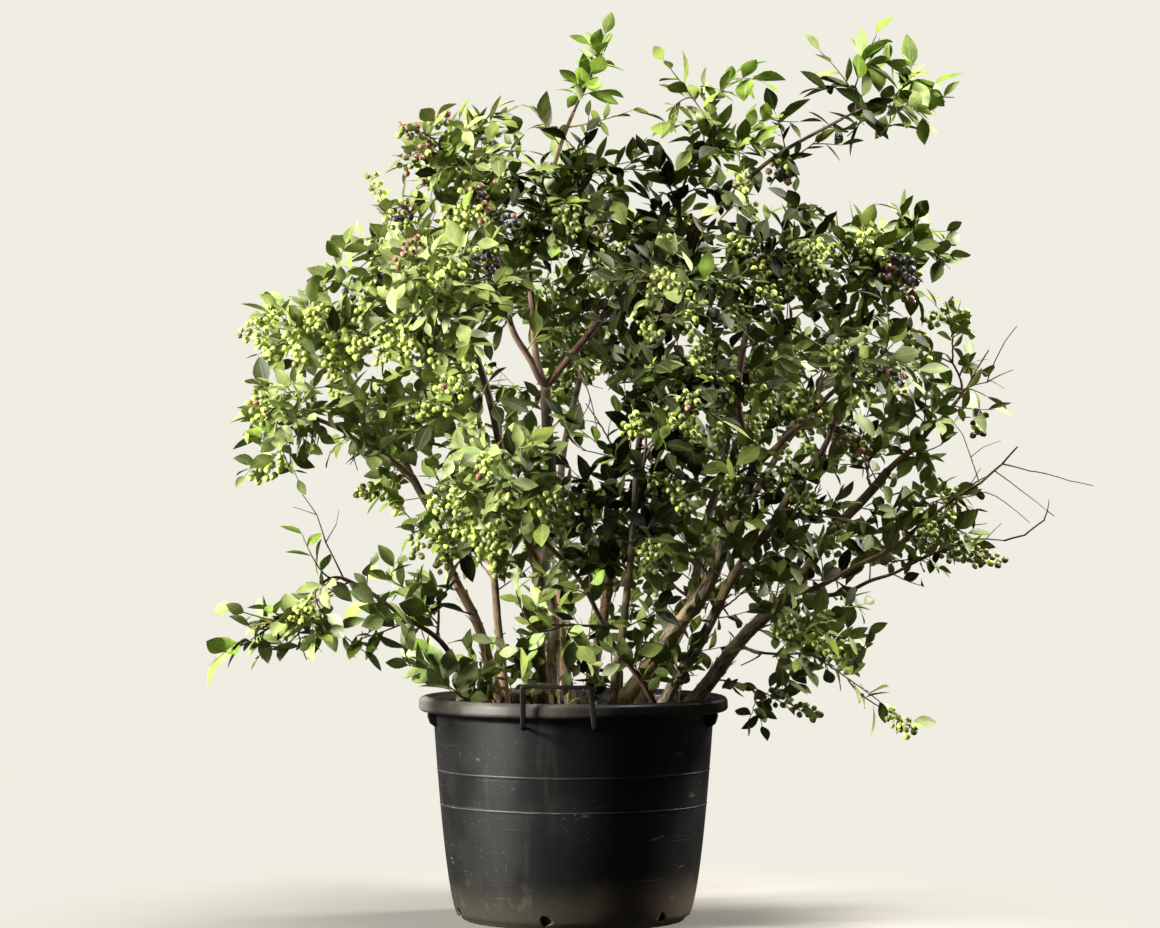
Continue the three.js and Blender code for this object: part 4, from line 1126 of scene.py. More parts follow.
def pot_profile():
    """(radius, height) from the middle of the underside up the outside, over the rim and down inside."""
    corner = 5
    heights = [np.linspace(corner * 1.6, WALL_TOP - 3, 60)]
    heights += [seam + np.array([-1.6, -0.8, 0, 0.8, 1.6]) for seam in SEAMS]
    z = np.unique(np.concatenate(heights))
    ring = sum(np.clip(1 - np.abs(z - seam) / 1.5, 0, 1) for seam in SEAMS)
    outside = np.stack([wall_radius(z) + 0.9 * ring, z], axis=1)
    foot = arc((BASE_RADIUS - corner, corner), (corner, corner), -90, -10, 6)
    under = arc((WALL_TOP_RADIUS + 4, WALL_TOP - 3), (4, 4), 180, 90, 5)
    roll = arc((RIM_RADIUS - 8, WALL_TOP + 8), (8, 7), -80, 10, 8)
    crown = arc((RIM_RADIUS - 10, POT_HEIGHT - 9), (9.6, 9), 5, 130, 10)
    lip = arc((WALL_TOP_RADIUS + 2, POT_HEIGHT - 12), (7, 8), 60, 175, 7)
    z_in = np.linspace(WALL_TOP - 5, FLOOR + 6, 24)
    inside = np.stack([wall_radius(z_in) - WALL, z_in], axis=1)
    ends = np.array([[0.0, 0.0], [90, 0]]), np.array([[BASE_RADIUS - WALL - 6, FLOOR], [0.0, FLOOR]])
    return np.concatenate([ends[0], foot, outside, under, roll, crown, lip, inside, ends[1]])


def lathe(profile, sides, wobble=0.0):
    """A profile turned round the Z axis: each point's radius times the cosine and sine of the turn. The
    first and last points are on the axis and close the shape. A wobble makes it a little out of round."""
    turn = turns(sides)
    r, z = profile[1:-1, 0, None], profile[1:-1, 1, None]
    r = r * (1 + wobble * np.cos(2 * turn + 0.6) + 0.6 * wobble * np.cos(3 * turn + 2))
    shell = around(r, turn, z).reshape(-1, 3)
    poles = np.array([[0, 0, profile[0, 1]], [0, 0, profile[-1, 1]]])
    rows = len(profile) - 2
    return np.concatenate([shell, poles]) * MM, grid_faces(rows, sides), end_fans(rows, sides)


def level_ways(angle):
    """The level directions away from the axis and round it, at an angle in radians."""
    cos, sin = math.cos(angle), math.sin(angle)
    return np.array([cos, sin, 0]), np.array([-sin, cos, 0])


def cut_drains(pot):
    """Cuts a ring of ragged holes through the foot of the wall, and keeps the cut shape as the piece's own
    mesh. Each cutter is a level tube whose radius waves a little round it."""
    cutter = Piece()
    sides, reach = 20, np.array([150, 215])
    for i in range(DRAINS["count"]):
        out, side = level_ways(math.radians(DRAINS["first"] + 360 / DRAINS["count"] * i))
        turn = turns(sides)[:, None]
        ragged = DRAINS["radius"] * (1 + 0.14 * np.cos(3 * turn + i) + 0.07 * np.cos(7 * turn + 2 * i))
        ring = ragged * turned(side, UP, turn)
        shell = (reach[:, None, None] * out + ring + UP * DRAINS["height"]).reshape(-1, 3)
        poles = reach[:, None] * out + UP * DRAINS["height"]
        cutter.add(np.concatenate([shell, poles]) * MM, grid_faces(2, sides), end_fans(2, sides))
    tool = cutter.build("drain_cutter", pot.data.materials[0], "pot_plastic")
    step = pot.modifiers.new("Drains", "BOOLEAN")
    step.operation, step.solver, step.object = "DIFFERENCE", "EXACT", tool
    cut = bpy.data.meshes.new_from_object(pot.evaluated_get(bpy.context.evaluated_depsgraph_get()))
    pot.modifiers.clear()
    pot.data = cut
    bpy.data.objects.remove(tool)


DRAINS = {"count": 6, "first": -103, "radius": 8, "height": 15}
RIBS = (-167, -16, 13, 164)  # turns of the small ribs under the rim, in degrees


def rib_block(angle):
    """A small wedge under the rim: six outline points in (radius, height), carried across its breadth."""
    out, side = level_ways(math.radians(angle))
    outline = np.array([(222, 336), (239, 336), (240, 330), (236, 318), (229, 313), (222, 313)])
    sides = np.array([-6, 6])[None, :, None] * side
    points = outline[:, :1, None] * out + outline[:, 1:, None] * UP + sides
    points = points.transpose(1, 0, 2).reshape(-1, 3) * MM
    return points, grid_faces(2, len(outline))[:, ::-1], end_caps(len(outline))[:, ::-1]


def rounded(points, radius, steps=6):
    """A path through points, with each corner a quadratic curve from just before it to just after it."""
    path = [points[0]]
    for before, corner, after in zip(points, points[1:], points[2:]):
        a = corner + unit(before - corner) * radius
        b = corner + unit(after - corner) * radius
        t = np.linspace(0, 1, steps)[:, None]
        path.extend((1 - t) ** 2 * a + 2 * t * (1 - t) * corner + t * t * b)
    path.append(points[-1])
    return np.array(path)


def bar_along(path, breadth, depth, facing):
    """A flat bar with rounded edges: a squarish ring, whose cosine and sine are drawn towards its corners,
    carried along a path, broader where it is upright. The first ring faces the given way, and each later
    one turns as little as it can."""
    heading = unit(np.gradient(path, axis=0))
    frames = [unit(facing - facing.dot(heading[0]) * heading[0])]
    for way in heading[1:]:
        frames.append(unit(frames[-1] - frames[-1].dot(way) * way))
    a = np.array(frames)
    b = np.cross(heading, a)
    turn = turns(BAR_SIDES)
    cos, sin = (np.sign(f) * np.abs(f) ** 0.45 for f in (np.cos(turn), np.sin(turn)))
    broad = breadth * (1 + LEG_BROADER * heading[:, 2:] ** 2) / 2 * sin
    shell = path[:, None] + a[:, None] * (depth / 2 * cos)[:, None] + b[:, None] * broad[..., None]
    rings = len(path)
    points = np.concatenate([shell.reshape(-1, 3), path[[0, -1]]])
    return points * MM, grid_faces(rings, BAR_SIDES), end_fans(rings, BAR_SIDES)


# half the width between the legs, how far out they and their feet are, the heights, and the bar's own sizes
HANDLE = {"half": 56, "face": 256, "inside": 221, "top": 389, "foot": 321, "breadth": 6.2, "depth": 4.4}
TURN_OF_HANDLES = -5  # degrees
LEG_BROADER = 0.4  # how much more breadth the upright legs have
HANDLE_TONE = 0.6  # how dark the handles are, against the pot
HANDLE_DIRT_AND_PAINTED_LIGHT = 0.1  # how much dirt and painted light they take, against the pot
BAR_SIDES = 16


def handle_bar(turn):
    """The bail: out through the wall, up, across, down and back in, with round corners and a sag on top."""
    half, face, top, foot, inside = (HANDLE[k] for k in ("half", "face", "top", "foot", "inside"))
    left = [(-half, -inside, foot), (-half, -face, foot), (-half - 1, -face, top)]
    right = [(half - 7, -face, top - 1), (half, -face, foot), (half, -inside, foot)]
    path = rounded(np.array(left + right, float), 6)
    more = [path[0]]
    for a, b in zip(path, path[1:]):
        steps = max(int(np.linalg.norm(b - a) // 6), 1)
        more.extend(a + (b - a) * k / steps for k in range(1, steps + 1))
    path = np.array(more)
    path[:, 2] -= 1.2 * np.cos(path[:, 0] / half * np.pi / 2) * (path[:, 2] > top - 3)
    spin = np.array([*level_ways(math.radians(turn)), UP])
    return bar_along(path @ spin, HANDLE["breadth"], HANDLE["depth"], UP)


def soil_surface():
    """A disc of rings whose height is a sum of waves, highest in the middle, with a skirt to the floor."""
    sides, rings = 180, 60
    turn = turns(sides)
    out = np.linspace(0, 1, rings + 1)[1:, None] ** 0.8
    x, y = MIX_RADIUS * out * np.cos(turn), MIX_RADIUS * out * np.sin(turn)
    rng = np.random.default_rng(SEED)
    height = np.zeros_like(x)
    for _ in range(40):
        way, rate, phase = rng.uniform(0, 2 * np.pi), rng.uniform(0.02, 0.55), rng.uniform(0, 6.3)
        height += np.cos(rate * (x * math.cos(way) + y * math.sin(way)) + phase) * 0.35 / (0.35 + rate)
    height = np.minimum(SOIL_LEVEL - 7 + 5 * (1 - out**2) + height, SOIL_LEVEL + 6)
    top = around(MIX_RADIUS * out, turn, height)
    z = np.array([280, 180, 80, FLOOR + 6, FLOOR + 0.5])[:, None]
    r = np.append(wall_radius(z[:-1, 0] - FLOOR) - WALL - MIX_GAP, BASE_RADIUS - WALL - 4)[:, None]
    shell = np.concatenate([top, around(r, turn, z)]).reshape(-1, 3)
    poles = np.array([[0, 0, SOIL_LEVEL - 2.0], [0, 0, FLOOR + 0.5]])
    rows = rings + len(z)
    quads, tris = grid_faces(rows, sides)[:, ::-1], end_fans(rows, sides, flip=True)
    return np.concatenate([shell, poles]) * MM, quads, tris


def bark_chips(rng, count):
    """Flat six-sided scraps: two rings of six points at uneven radii, a little apart, each tipped and
    turned at random."""
    turn = turns(6)
    size = np.stack([rng.uniform(low, high, count) for low, high in ((4, 15), (2.5, 6), (0.8, 2))], axis=1)
    rim = np.stack([np.cos(turn), np.sin(turn), np.zeros(6)], axis=1)
    ring = rim[None] * rng.uniform(0.75, 1.1, (count, 6, 1))
    body = np.concatenate([ring + [0, 0, -1], ring * 0.85 + [0, 0, 1]], axis=1) * size[:, None]
    spin, tip = rng.uniform(0, 2 * np.pi, count), rng.normal(0, 0.35, count)
    a = np.stack([np.cos(spin) * np.cos(tip), np.sin(spin) * np.cos(tip), np.sin(tip)], axis=1)
    b = np.stack([-np.sin(spin), np.cos(spin), np.zeros(count)], axis=1)
    c = np.cross(a, b)
    place = rng.uniform(0, 2 * np.pi, count)
    out = (MIX_RADIUS - 17) * np.sqrt(rng.uniform(0, 1, count))
    height = SOIL_LEVEL - 5 + 4 * (1 - (out / MIX_RADIUS) ** 2)
    points = around(out, place, height)[:, None] + body[..., :1] * a[:, None]
    points = points + body[..., 1:2] * b[:, None] + body[..., 2:] * c[:, None]
    return many(points * MM, grid_faces(2, 6), end_caps(6))


def end_caps(n):
    """Triangles that close both flat ends of a tube of two rings of n points."""
    first = [[0, k + 1, k] for k in range(1, n - 1)]
    last = [[n, n + k, n + k + 1] for k in range(1, n - 1)]
    return np.array(first + last)


# -------- bark


def bark_tube(limb, order, sides, relief):
    """A limb's skin: a round section carried along its path, whose radius is the taper and flare, plus
    ridges that run along it and wander round it, plus a low swelling at each of the old leaf joints."""
    share = np.linspace(0, 1, max(int(limb.length / RING_STEP), 24))
    path = limb.at(share)[0]
    u, v = np.linspace(0, 1, sides, endpoint=False)[None], (share * limb.length / 0.03)[:, None]
    ridges = wavy(order, u, v * 0.4, 3, 6) + 0.5 * wavy(order + 60, u, v * 1.7, 5, 8)
    near_joint = np.exp(-(((v + order) % JOINT_STEP - JOINT_STEP / 2) / 0.22) ** 2)
    knots = near_joint * np.clip(np.cos(2 * np.pi * (u - 0.37 * np.round(v / JOINT_STEP))), 0, 1)
    radius = limb.radius(share)[:, None] * (1 + relief * ridges + 0.09 * knots)
    return tubes(path[None], radius[None], sides, length_uv=limb.length / 0.1)


RING_STEP = 0.006  # from ring to ring along a limb
JOINT_STEP = 2.3  # from one old leaf joint to the next, in steps of 30 mm


def bark_flakes(limb, count, rng):
    """Old skin that lifts in strips: patches of the limb's surface, just off it, whose ends curl away."""
    rows, columns = 7, 4
    share = rng.uniform(0.03, 0.55, count)
    turn = rng.uniform(0, 2 * np.pi, count)
    length, breadth = rng.uniform(0.02, 0.055, count), rng.uniform(0.25, 0.7, count)
    s = np.linspace(-0.5, 0.5, rows)[None, :, None]
    c = np.linspace(-0.5, 0.5, columns)[None, None]
    at = np.clip(share[:, None, None] + s * (length / limb.length)[:, None, None] + 0 * c, 0.02, 1)
    point, heading = limb.at(at)
    a, b = across(heading)
    angle = (turn[:, None, None] + c * breadth[:, None, None] * (1 - 0.5 * np.abs(2 * s) ** 3))[..., None]
    lift = 0.0006 + 0.0032 * (2 * np.abs(s + 0.08)) ** 3 + 0 * c
    points = point + turned(a, b, angle) * (limb.radius(at) * 1.03 + lift)[..., None]
    uv = np.stack(np.broadcast_arrays(angle[..., 0] / 6.3, at * limb.length / 0.1), axis=-1)
    points, uv = points.reshape(count, -1, 3), uv.reshape(-1, 2)
    return many(points, grid_faces(rows, columns, wrap=False), uv=uv)


# -------- twigs, leaves and berries


def twig_tubes(kinds, rings, sides):
    """Thin tapering tubes along quadratic curves, which zigzag a little from ring to ring."""
    start, bend, tip, radii, _ = plant().columns(kinds)
    share = np.linspace(0, 1, rings)[None, :, None]
    paths, _ = curve_at(start[:, None], bend[:, None], tip[:, None], share)
    a, _ = across(unit(tip - start))
    zigzag = np.where(np.arange(rings) % 2 == 0, 1, -1)[None, :, None] * np.sin(np.pi * share)
    paths = paths + a[:, None] * zigzag * ZIGZAG
    taper = lerp(radii[:, :1], radii[:, 1:], share[..., 0] ** 0.8)
    return tubes(paths, taper[..., None], sides)


ZIGZAG = 0.0011  # how far a twig swings to each side


def bud_places(kinds, spacing, first, rng):
    """Where leaves start: evenly along each twig from a first share to its end, each turned on by the
    golden angle. Gives the point, heading, outward direction, share, the twig's number and its mass."""
    start, bend, tip, _, mass = plant().columns(kinds)
    length = np.linalg.norm(tip - start, axis=1)
    count = np.maximum((length * (1 - first) / spacing).astype(int), 2) + 1
    which = np.repeat(np.arange(len(start)), count)
    number = np.concatenate([np.arange(n) for n in count])
    last = count[which] - 1
    shift = rng.uniform(-0.25, 0.25, len(number)) * (number < last)
    share = np.clip(first + (1 - first) * (number + shift) / last, first * 0.5, 1)
    point, heading = curve_at(start[which], bend[which], tip[which], share[:, None])
    a, b = across(heading)
    turn = number * GOLDEN_ANGLE + rng.uniform(0, 6.3, len(start))[which] + rng.normal(0, 0.25, len(number))
    return point, heading, turned(a, b, turn[:, None]), share, which, np.array(mass)[which]


BLADE_ROWS = np.array([0.12, 0.3, 0.5, 0.7, 0.87])
STALK = 0.05  # the share of a leaf's length before its blade


def blades(base, along, up, length, width, droop, fold):
    """Leaf blades: rows of three points across an outline that is widest a little before the middle and
    pointed at both ends. The rows bend down along the blade by droop, and the two halves are raised to the
    rib by fold."""
    n, count = len(BLADE_ROWS), len(base)
    half = (np.sin(np.pi * BLADE_ROWS**0.88) ** 0.92)[None, :, None]
    v = np.array([-1.0, 0.0, 1.0])
    far = (STALK + (1 - STALK) * BLADE_ROWS)[None, :, None]
    reach, wide, bent, raised = (column[:, None, None] for column in (length, width, droop, fold))
    x = far * reach + 0 * v
    y = half * v * wide / 2
    z = -bent * far**2 * reach + np.abs(v) * half * wide * raised
    rows = base[:, None, None] + x[..., None] * along[:, None, None]
    rows = rows + y[..., None] * np.cross(along, up)[:, None, None] + z[..., None] * up[:, None, None]
    end = base + length[:, None] * along - (droop * length)[:, None] * up
    points = np.concatenate([base[:, None], rows.reshape(count, -1, 3), end[:, None]], axis=1)
    quads = grid_faces(n, 3, wrap=False) + 1
    last = 3 * n + 1
    tris = np.array([[0, 2, 1], [0, 3, 2], [last, last - 3, last - 2], [last, last - 2, last - 1]])
    grid = np.stack([np.repeat(BLADE_ROWS, 3), np.tile([0, 0.5, 1], n)], axis=1)
    uv = np.tile(np.concatenate([[[0, 0.5]], grid, [[1, 0.5]]]), (count, 1))
    return many(points, quads, tris, uv)


def near_limbs(points, clear):
    """True where a point is within a limb's radius and a clearance of its middle line."""
    hit = np.zeros(len(points), bool)
    for limb in limbs().values():
        share = np.linspace(0, 1, 30)
        line, radius = limb.at(share)[0], limb.radius(share)
        hit |= (np.linalg.norm(points[:, None] - line, axis=2) < radius + clear).any(1)
    return hit


# shares of leaves, by mass and limb: fresh ones of all, sage ones of the rest, and deep ones of what is
# left then. Besides young and old leaves, the shares paint light and shade: more fresh and sage leaves are
# painted light on the lit left and low left, and more deep leaves are painted shade in the middle and front
# of the crown.
FRESH_AND_PAINTED_LIGHT = {
    "top_shoot": 0.8, "top_middle": 0.32, "top_right": 0.2, "right_upper": 0.2, "crown_left": 0.08,
    "mast_top": 0.08, "low_left": 0.12, "left_tip": 0.1, "low_left_inner": 0.3, "low_front": 0.25,
    "left_inner": 0.15, "stem_low_left": 0.3, "stem_left": 0.2, "crown_middle": 0.08,
}
SAGE_AND_PAINTED_LIGHT = {
    "left_shoulder": 0.75, "left_tip": 0.75, "left_front": 0.7, "left_upper": 0.65, "crown_left": 0.5,
    "left_inner": 0.4, "low_left": 0.85, "low_left_inner": 0.9, "stem_low_left": 0.85, "droop": 0.45,
    "front_left": 0.35, "bough_left_low": 0.7, "stem_peeling": 0.4, "bough_left_mid": 0.7, "top_right": 0.4,
    "centre_back": 0.03, "front_upper": 0.03, "front_middle": 0.05, "centre_right": 0.05,
    "crown_middle": 0.1, "stem_front": 0.05, "stem_centre": 0.05, "bough_fork_right": 0.08,
    "bough_mast": 0.05, "mast_top": 0.08,
}
DEEP_AND_PAINTED_SHADE = {
    "front_upper": 0.95, "front_middle": 0.9, "centre_back": 0.95, "crown_middle": 0.4, "low_left": 0.05,
    "low_left_inner": 0.05, "stem_low_left": 0.05, "low_front": 0.2, "left_inner": 0.35,
    "stem_peeling": 0.35, "mast_top": 0.85, "droop": 0.1, "stem_front": 0.85, "centre_right": 0.85,
    "right_inner": 0.5, "stem_centre": 0.9, "bough_mast": 0.8, "bough_fork_right": 0.8,
}


def leaf_tones(which, mass, rng):
    """Deals each twig's leaves one tone by the shares of its mass or limb: fresh, sage, deep or plain. The
    shares paint light on the lit left and shade in the middle of the crown.
    """
    draw = rng.uniform(0, 1, which.max() + 1)[which]
    fresh = np.array([FRESH_AND_PAINTED_LIGHT.get(m, 0.4 if m.startswith("sprout") else 0.03) for m in mass])
    sage = fresh + (1 - fresh) * np.array([SAGE_AND_PAINTED_LIGHT.get(m, 0.1) for m in mass])
    deep = sage + (1 - sage) * np.array([DEEP_AND_PAINTED_SHADE.get(m, 0.15) for m in mass])
    return np.where(draw < fresh, 0, np.where(draw < sage, 1, np.where(draw < deep, 3, 2)))


def grow_leaves(kinds, spacing, first, size, rng):
    """Every leaf's base, directions and sizes. Blades lean up and away from the plant's middle, unevenly. A
    leaf that would leave the plant's space is made shorter, or left out."""
    point, heading, outward, share, which, mass = bud_places(kinds, spacing, first, rng)
    n = len(point)
    at_tip = share > 0.97
    lean = np.where(at_tip, *LEAF["lean"])[:, None]
    along = unit(heading * 0.75 + outward * lean + UP * 0.08 + rng.normal(0, 0.2, (n, 3)))
    away = unit((point - vec(CROWN_MIDDLE)) * [1, 1, 0.6])
    up = 0.75 * UP + 0.6 * away + rng.normal(0, 0.5, (n, 3))
    up = unit(up - (up * along).sum(1, keepdims=True) * along)
    young = np.where(at_tip, 0.95, 0.72 + 0.28 * np.sin(np.pi * share**1.3))
    larger = np.array([BREADTH.get(m, 1) for m in mass])
    length = size * rng.uniform(*LEAF["size"], n) ** 1.5 * young * larger
    width = length * rng.uniform(*LEAF["width"], n)
    droop = rng.uniform(*LEAF["droop"], n)
    fold = rng.uniform(*LEAF["fold"], n)
    length = np.where(in_box(point + along * length[:, None], OVER), length, 0.6 * length)
    middle, end = point + along * length[:, None] * 0.55, point + along * length[:, None]
    keep = in_box(end, OVER) & ~(in_sky(middle) | in_pot(end) | in_pot(middle))
    keep &= ~near_limbs(middle, LIMB_CLEAR)
    for name in MASSES:
        mine = (mass == name) & keep
        keep[mine] &= in_reach(end[mine], name, LEAF_MARGIN)
    return [c[keep] for c in (point, along, up, length, width, droop, fold, which, mass)]


# ranges of a leaf's size against the full size, of its width against its length, and of its droop and fold,
# and how far it leans off its twig, at the tip and along it
LEAF = {
    "size": (0.66, 1.06), "width": (0.46, 0.6), "droop": (0.02, 0.2), "fold": (0.04, 0.18),
    "lean": (0.25, 1.05),
}
CROWN_MIDDLE = (60, 30, 650)  # millimetres; leaves face away from it
LEAF_MARGIN = 0.02  # how far a leaf may pass the space of its mass
OVER = 0.01  # how far it may pass the box of the solids
LIMB_CLEAR = 0.004


def berry_balls(centre, axis, radius, sides=7):
    """Berries: flattened balls with a crown at the far end, each a profile turned round its own axis."""
    shape = np.array([[0.62, -0.72], [0.97, -0.2], [0.93, 0.35], [0.52, 0.8], [0.44, 0.98], [0.2, 0.78]])
    a, b = across(axis)
    ring = turned(a[:, None], b[:, None], turns(sides)[None, :, None])
    shell = shape[None, :, None, :1] * ring[:, None] + shape[None, :, None, 1:] * axis[:, None, None]
    poles = axis[:, None] * np.array([-0.9, 0.7])[None, :, None]
    rows, count = len(shape), len(centre)
    points = np.concatenate([shell.reshape(count, -1, 3), poles], axis=1)
    points = points * radius[:, None, None] + centre[:, None]
    height = np.append(np.repeat(shape[:, 1], sides), [-1, 0.9]) * 0.5 + 0.5
    uv = np.tile(np.stack([0 * height, height], axis=1), (count, 1))
    return many(points, grid_faces(rows, sides), end_fans(rows, sides), uv)


# shares of bright, green, blushing and ripe berries. The bright and green berries are one unripe colour
# with painted light and painted shade, and bunches right of the lit side take mostly the green one: painted
# shade in the middle and right of the crown.
KINDS = {
    "green": (0.62, 0.37, 0.01, 0.0), "painted_shade_bunch": (0.24, 0.755, 0.005, 0.0),
    "blush": (0.15, 0.35, 0.4, 0.1), "blue": (0.05, 0.3, 0.15, 0.5),
}
LIT_SIDE = -0.12  # metres; to the right of this green bunches take painted shade
# the stalk before the first berry, the step from berry to berry, how far they stand out, how far bunches of
# one place hang apart, and how far their roots keep from the pot, in metres
BUNCH = {"stalk": 0.004, "step": 0.0044, "breadth": 0.0095, "apart": 0.017, "clear": 0.02}
BACK = {"behind": 0.12, "from": 0.5, "to": 1.2}  # how far behind the middle, and the heights
BERRY_RADIUS = (0.0046, 0.0064)
BERRY_CLEAR = 0.012  # how far a berry keeps from the pot


def bunch_roots(rng):
    """Where bunches hang: for each place, the foremost points of twigs that lie in it, and then points
    spread over the twigs of the back."""
    start, bend, tip, _, _ = plant().columns(("twig", "shoot", "side"))
    seats = [0.3, 0.5, 0.7, 0.9]
    which = np.repeat(np.arange(len(start)), len(seats))
    share = np.tile(seats, len(start))[:, None]
    point, heading = curve_at(start[which], bend[which], tip[which], share)
    free = ~in_sky(point) & ~in_pot(point, BUNCH["clear"])
    rows = []
    for x, z, breadth, count, kind in ((*row, "green")[:5] for row in FRUIT):
        aside = np.hypot(point[:, 0] - x * MM, point[:, 2] - z * MM) / (breadth * MM)
        cost = np.where(free & (aside < 2.2), np.maximum(aside - 1, 0) * 0.6 + point[:, 1] * 1.2, np.inf)
        for _ in range(count):
            best = cost.argmin()
            if not np.isfinite(cost[best]):
                break
            rows.append((best, kind))
            cost[np.linalg.norm(point - point[best], axis=1) < BUNCH["apart"]] = np.inf
        used = np.array([row[0] for row in rows])
        free[(np.linalg.norm(point[:, None] - point[used], axis=2) < 0.015).any(1)] = False
    high = (point[:, 2] > BACK["from"]) & (point[:, 2] < BACK["to"])
    back = np.flatnonzero(free & high & (point[:, 1] > BACK["behind"]))
    picks = rng.permutation(back)[: sum(BACK_FRUIT.values())]
    rows += list(zip(picks, np.repeat(list(BACK_FRUIT), list(BACK_FRUIT.values()))))
    picks = np.array([row[0] for row in rows])
    return point[picks], heading[picks], [row[1] for row in rows]


@functools.cache
def bunches():
    """Every bunch hangs from a twig: a stalk that falls away, with berries set round it by the golden
    angle. Gives each berry's centre, axis, radius, tone and the place on the stalk that it hangs from."""
    rng = np.random.default_rng(SEED + 5)
    root, heading, kinds = bunch_roots(rng)
    fall = unit(heading * 0.5 - UP * 0.75 + rng.normal(0, 0.35, (len(root), 3)))
    rows = []
    for i, kind in enumerate(kinds):
        size = rng.integers(7, 13)
        # to the right of the lit side green bunches take painted shade
        kind = "painted_shade_bunch" if kind == "green" and root[i, 0] > LIT_SIDE else kind
        k = np.arange(size)
        a, b = across(fall[i])
        turn = (k * GOLDEN_ANGLE + rng.uniform(0, 6))[:, None]
        outward = turned(a, b, turn)
        stem = root[i] + fall[i] * (BUNCH["stalk"] + BUNCH["step"] * k)[:, None]
        aside = (BUNCH["breadth"] * np.sqrt(1 - (k / size - 0.4) ** 2))[:, None]
        centre = stem + outward * aside + fall[i] * 0.003
        tone = rng.choice(4, size=size, p=KINDS[kind])
        radius = rng.uniform(*BERRY_RADIUS, size) * np.where(tone > 1, 1.08, 1)
        rows.append(np.column_stack([centre, unit(outward + fall[i] * 0.9), radius, tone, stem]))
    rows = np.concatenate(rows)
    centre = rows[:, :3]
    keep = in_box(centre) & ~(in_pot(centre, BERRY_CLEAR) | in_sky(centre))
    centre, axis, radius, tone, stem = np.split(rows[keep], [3, 6, 7, 8], axis=1)
    return centre, axis, radius[:, 0], tone[:, 0].astype(int), stem


def stalks():
    """Thin stalks from each bunch's own stalk to its berries."""
    centre, axis, radius, _, root = bunches()
    end = centre - axis * radius[:, None] * 0.85
    share = np.linspace(0, 1, 3)[None, :, None]
    paths = lerp(root[:, None], end[:, None], share)
    return tubes(paths, np.full((len(paths), 3, 1), 0.0006), 3)


# -------- settings


def a_number(name, description, default, **more):
    return bpy.props.FloatProperty(name=name, description=description, default=default, **more)


def a_length(name, description, default, least=0.0):
    return a_number(name, description, default, unit="LENGTH", min=least)


def a_count(name, description, default, least=0):
    return bpy.props.IntProperty(name=name, description=description, default=default, min=least)


def a_colour(name, description, default):
    return bpy.props.FloatVectorProperty(
        name=name, description=description, default=default, size=3, subtype="COLOR_GAMMA", min=0.0, max=1.0
    )


class BushPotSettings(PropertyGroup):
    plastic: a_colour("Plastic", "Colour of the pot and its handles", (0.075, 0.074, 0.074))
    sides: a_count("Sides", "Facets round the pot", 240, 24)


class BushSoilSettings(PropertyGroup):
    mix_dark: a_colour("Mix", "Dark colour of the potting mix", (0.10, 0.075, 0.055))
    mix_light: a_colour("Bark chips", "Light colour of the potting mix", (0.36, 0.25, 0.16))
    chips: a_count("Chips", "How many bark chips lie on the mix", 520)


class BushBarkSettings(PropertyGroup):
    relief: a_number("Relief", "Depth of the ridges, as a share of the radius", 0.11)
    flakes: a_count("Flakes", "Peeling strips on each old stem", 26)
    old_dark: a_colour("Old bark, cracks", "Dark tone of the old bark", (0.29, 0.245, 0.19))
    old_light: a_colour("Old bark, ridges", "Light tone of the old bark", (0.66, 0.60, 0.49))
    peeled: a_colour("Peeled bark", "Warm tone under and on peeling bark", (0.76, 0.64, 0.43))
    young_dark: a_colour("Young bark, dark", "Dark tone of the boughs", (0.28, 0.19, 0.15))
    young_light: a_colour("Young bark, light", "Light tone of the boughs", (0.60, 0.48, 0.40))


class BushLeafSettings(PropertyGroup):
    size: a_length("Leaf length", "Length of a full-grown leaf", 0.050, 0.01)
    spacing: a_length("Leaf spacing", "Distance from leaf to leaf along a twig", 0.0105, 0.002)
    fresh: a_colour("Fresh leaves", "Colour of the youngest leaves", (0.45, 0.55, 0.19))
    # fresh and sage leaves are also dealt as painted light on the lit left of the plant
    sage: a_colour("Sage leaves", "Colour of the greyest leaves", (0.525, 0.575, 0.33))
    plain: a_colour("Green leaves", "Colour of most leaves", (0.40, 0.455, 0.185))
    # besides the oldest leaves, the deep tone is dealt as painted shade in the middle and front of the
    # crown
    deep: a_colour("Deep leaves", "Colour of the oldest leaves", (0.16, 0.188, 0.052))


class BushTwigSettings(PropertyGroup):
    green: a_colour("Green twigs", "Colour of this year's twigs", (0.40, 0.44, 0.20))
    woody: a_colour("Woody twigs", "Colour of older and dead twigs", (0.25, 0.18, 0.14))


class BushBerrySettings(PropertyGroup):
    unripe: a_colour("Unripe berries", "Colour of the green berries", (0.62, 0.68, 0.31))
    blush: a_colour("Blushing berries", "Colour of the half ripe berries", (0.50, 0.35, 0.29))
    ripe: a_colour("Ripe berries", "Colour of the blue berries", (0.14, 0.14, 0.19))


class BushStageSettings(PropertyGroup):
    backdrop: a_colour("Backdrop", "Colour of the floor and the background", (0.941, 0.929, 0.886))
    distance: a_length("Camera distance", "How far in front of the pot the camera stands", 6.5)
    height: a_length("Camera height", "Height of the camera above the floor", 0.735)
    lens: a_number("Lens", "Focal length of the camera in millimetres", 124.5)


# -------- operators


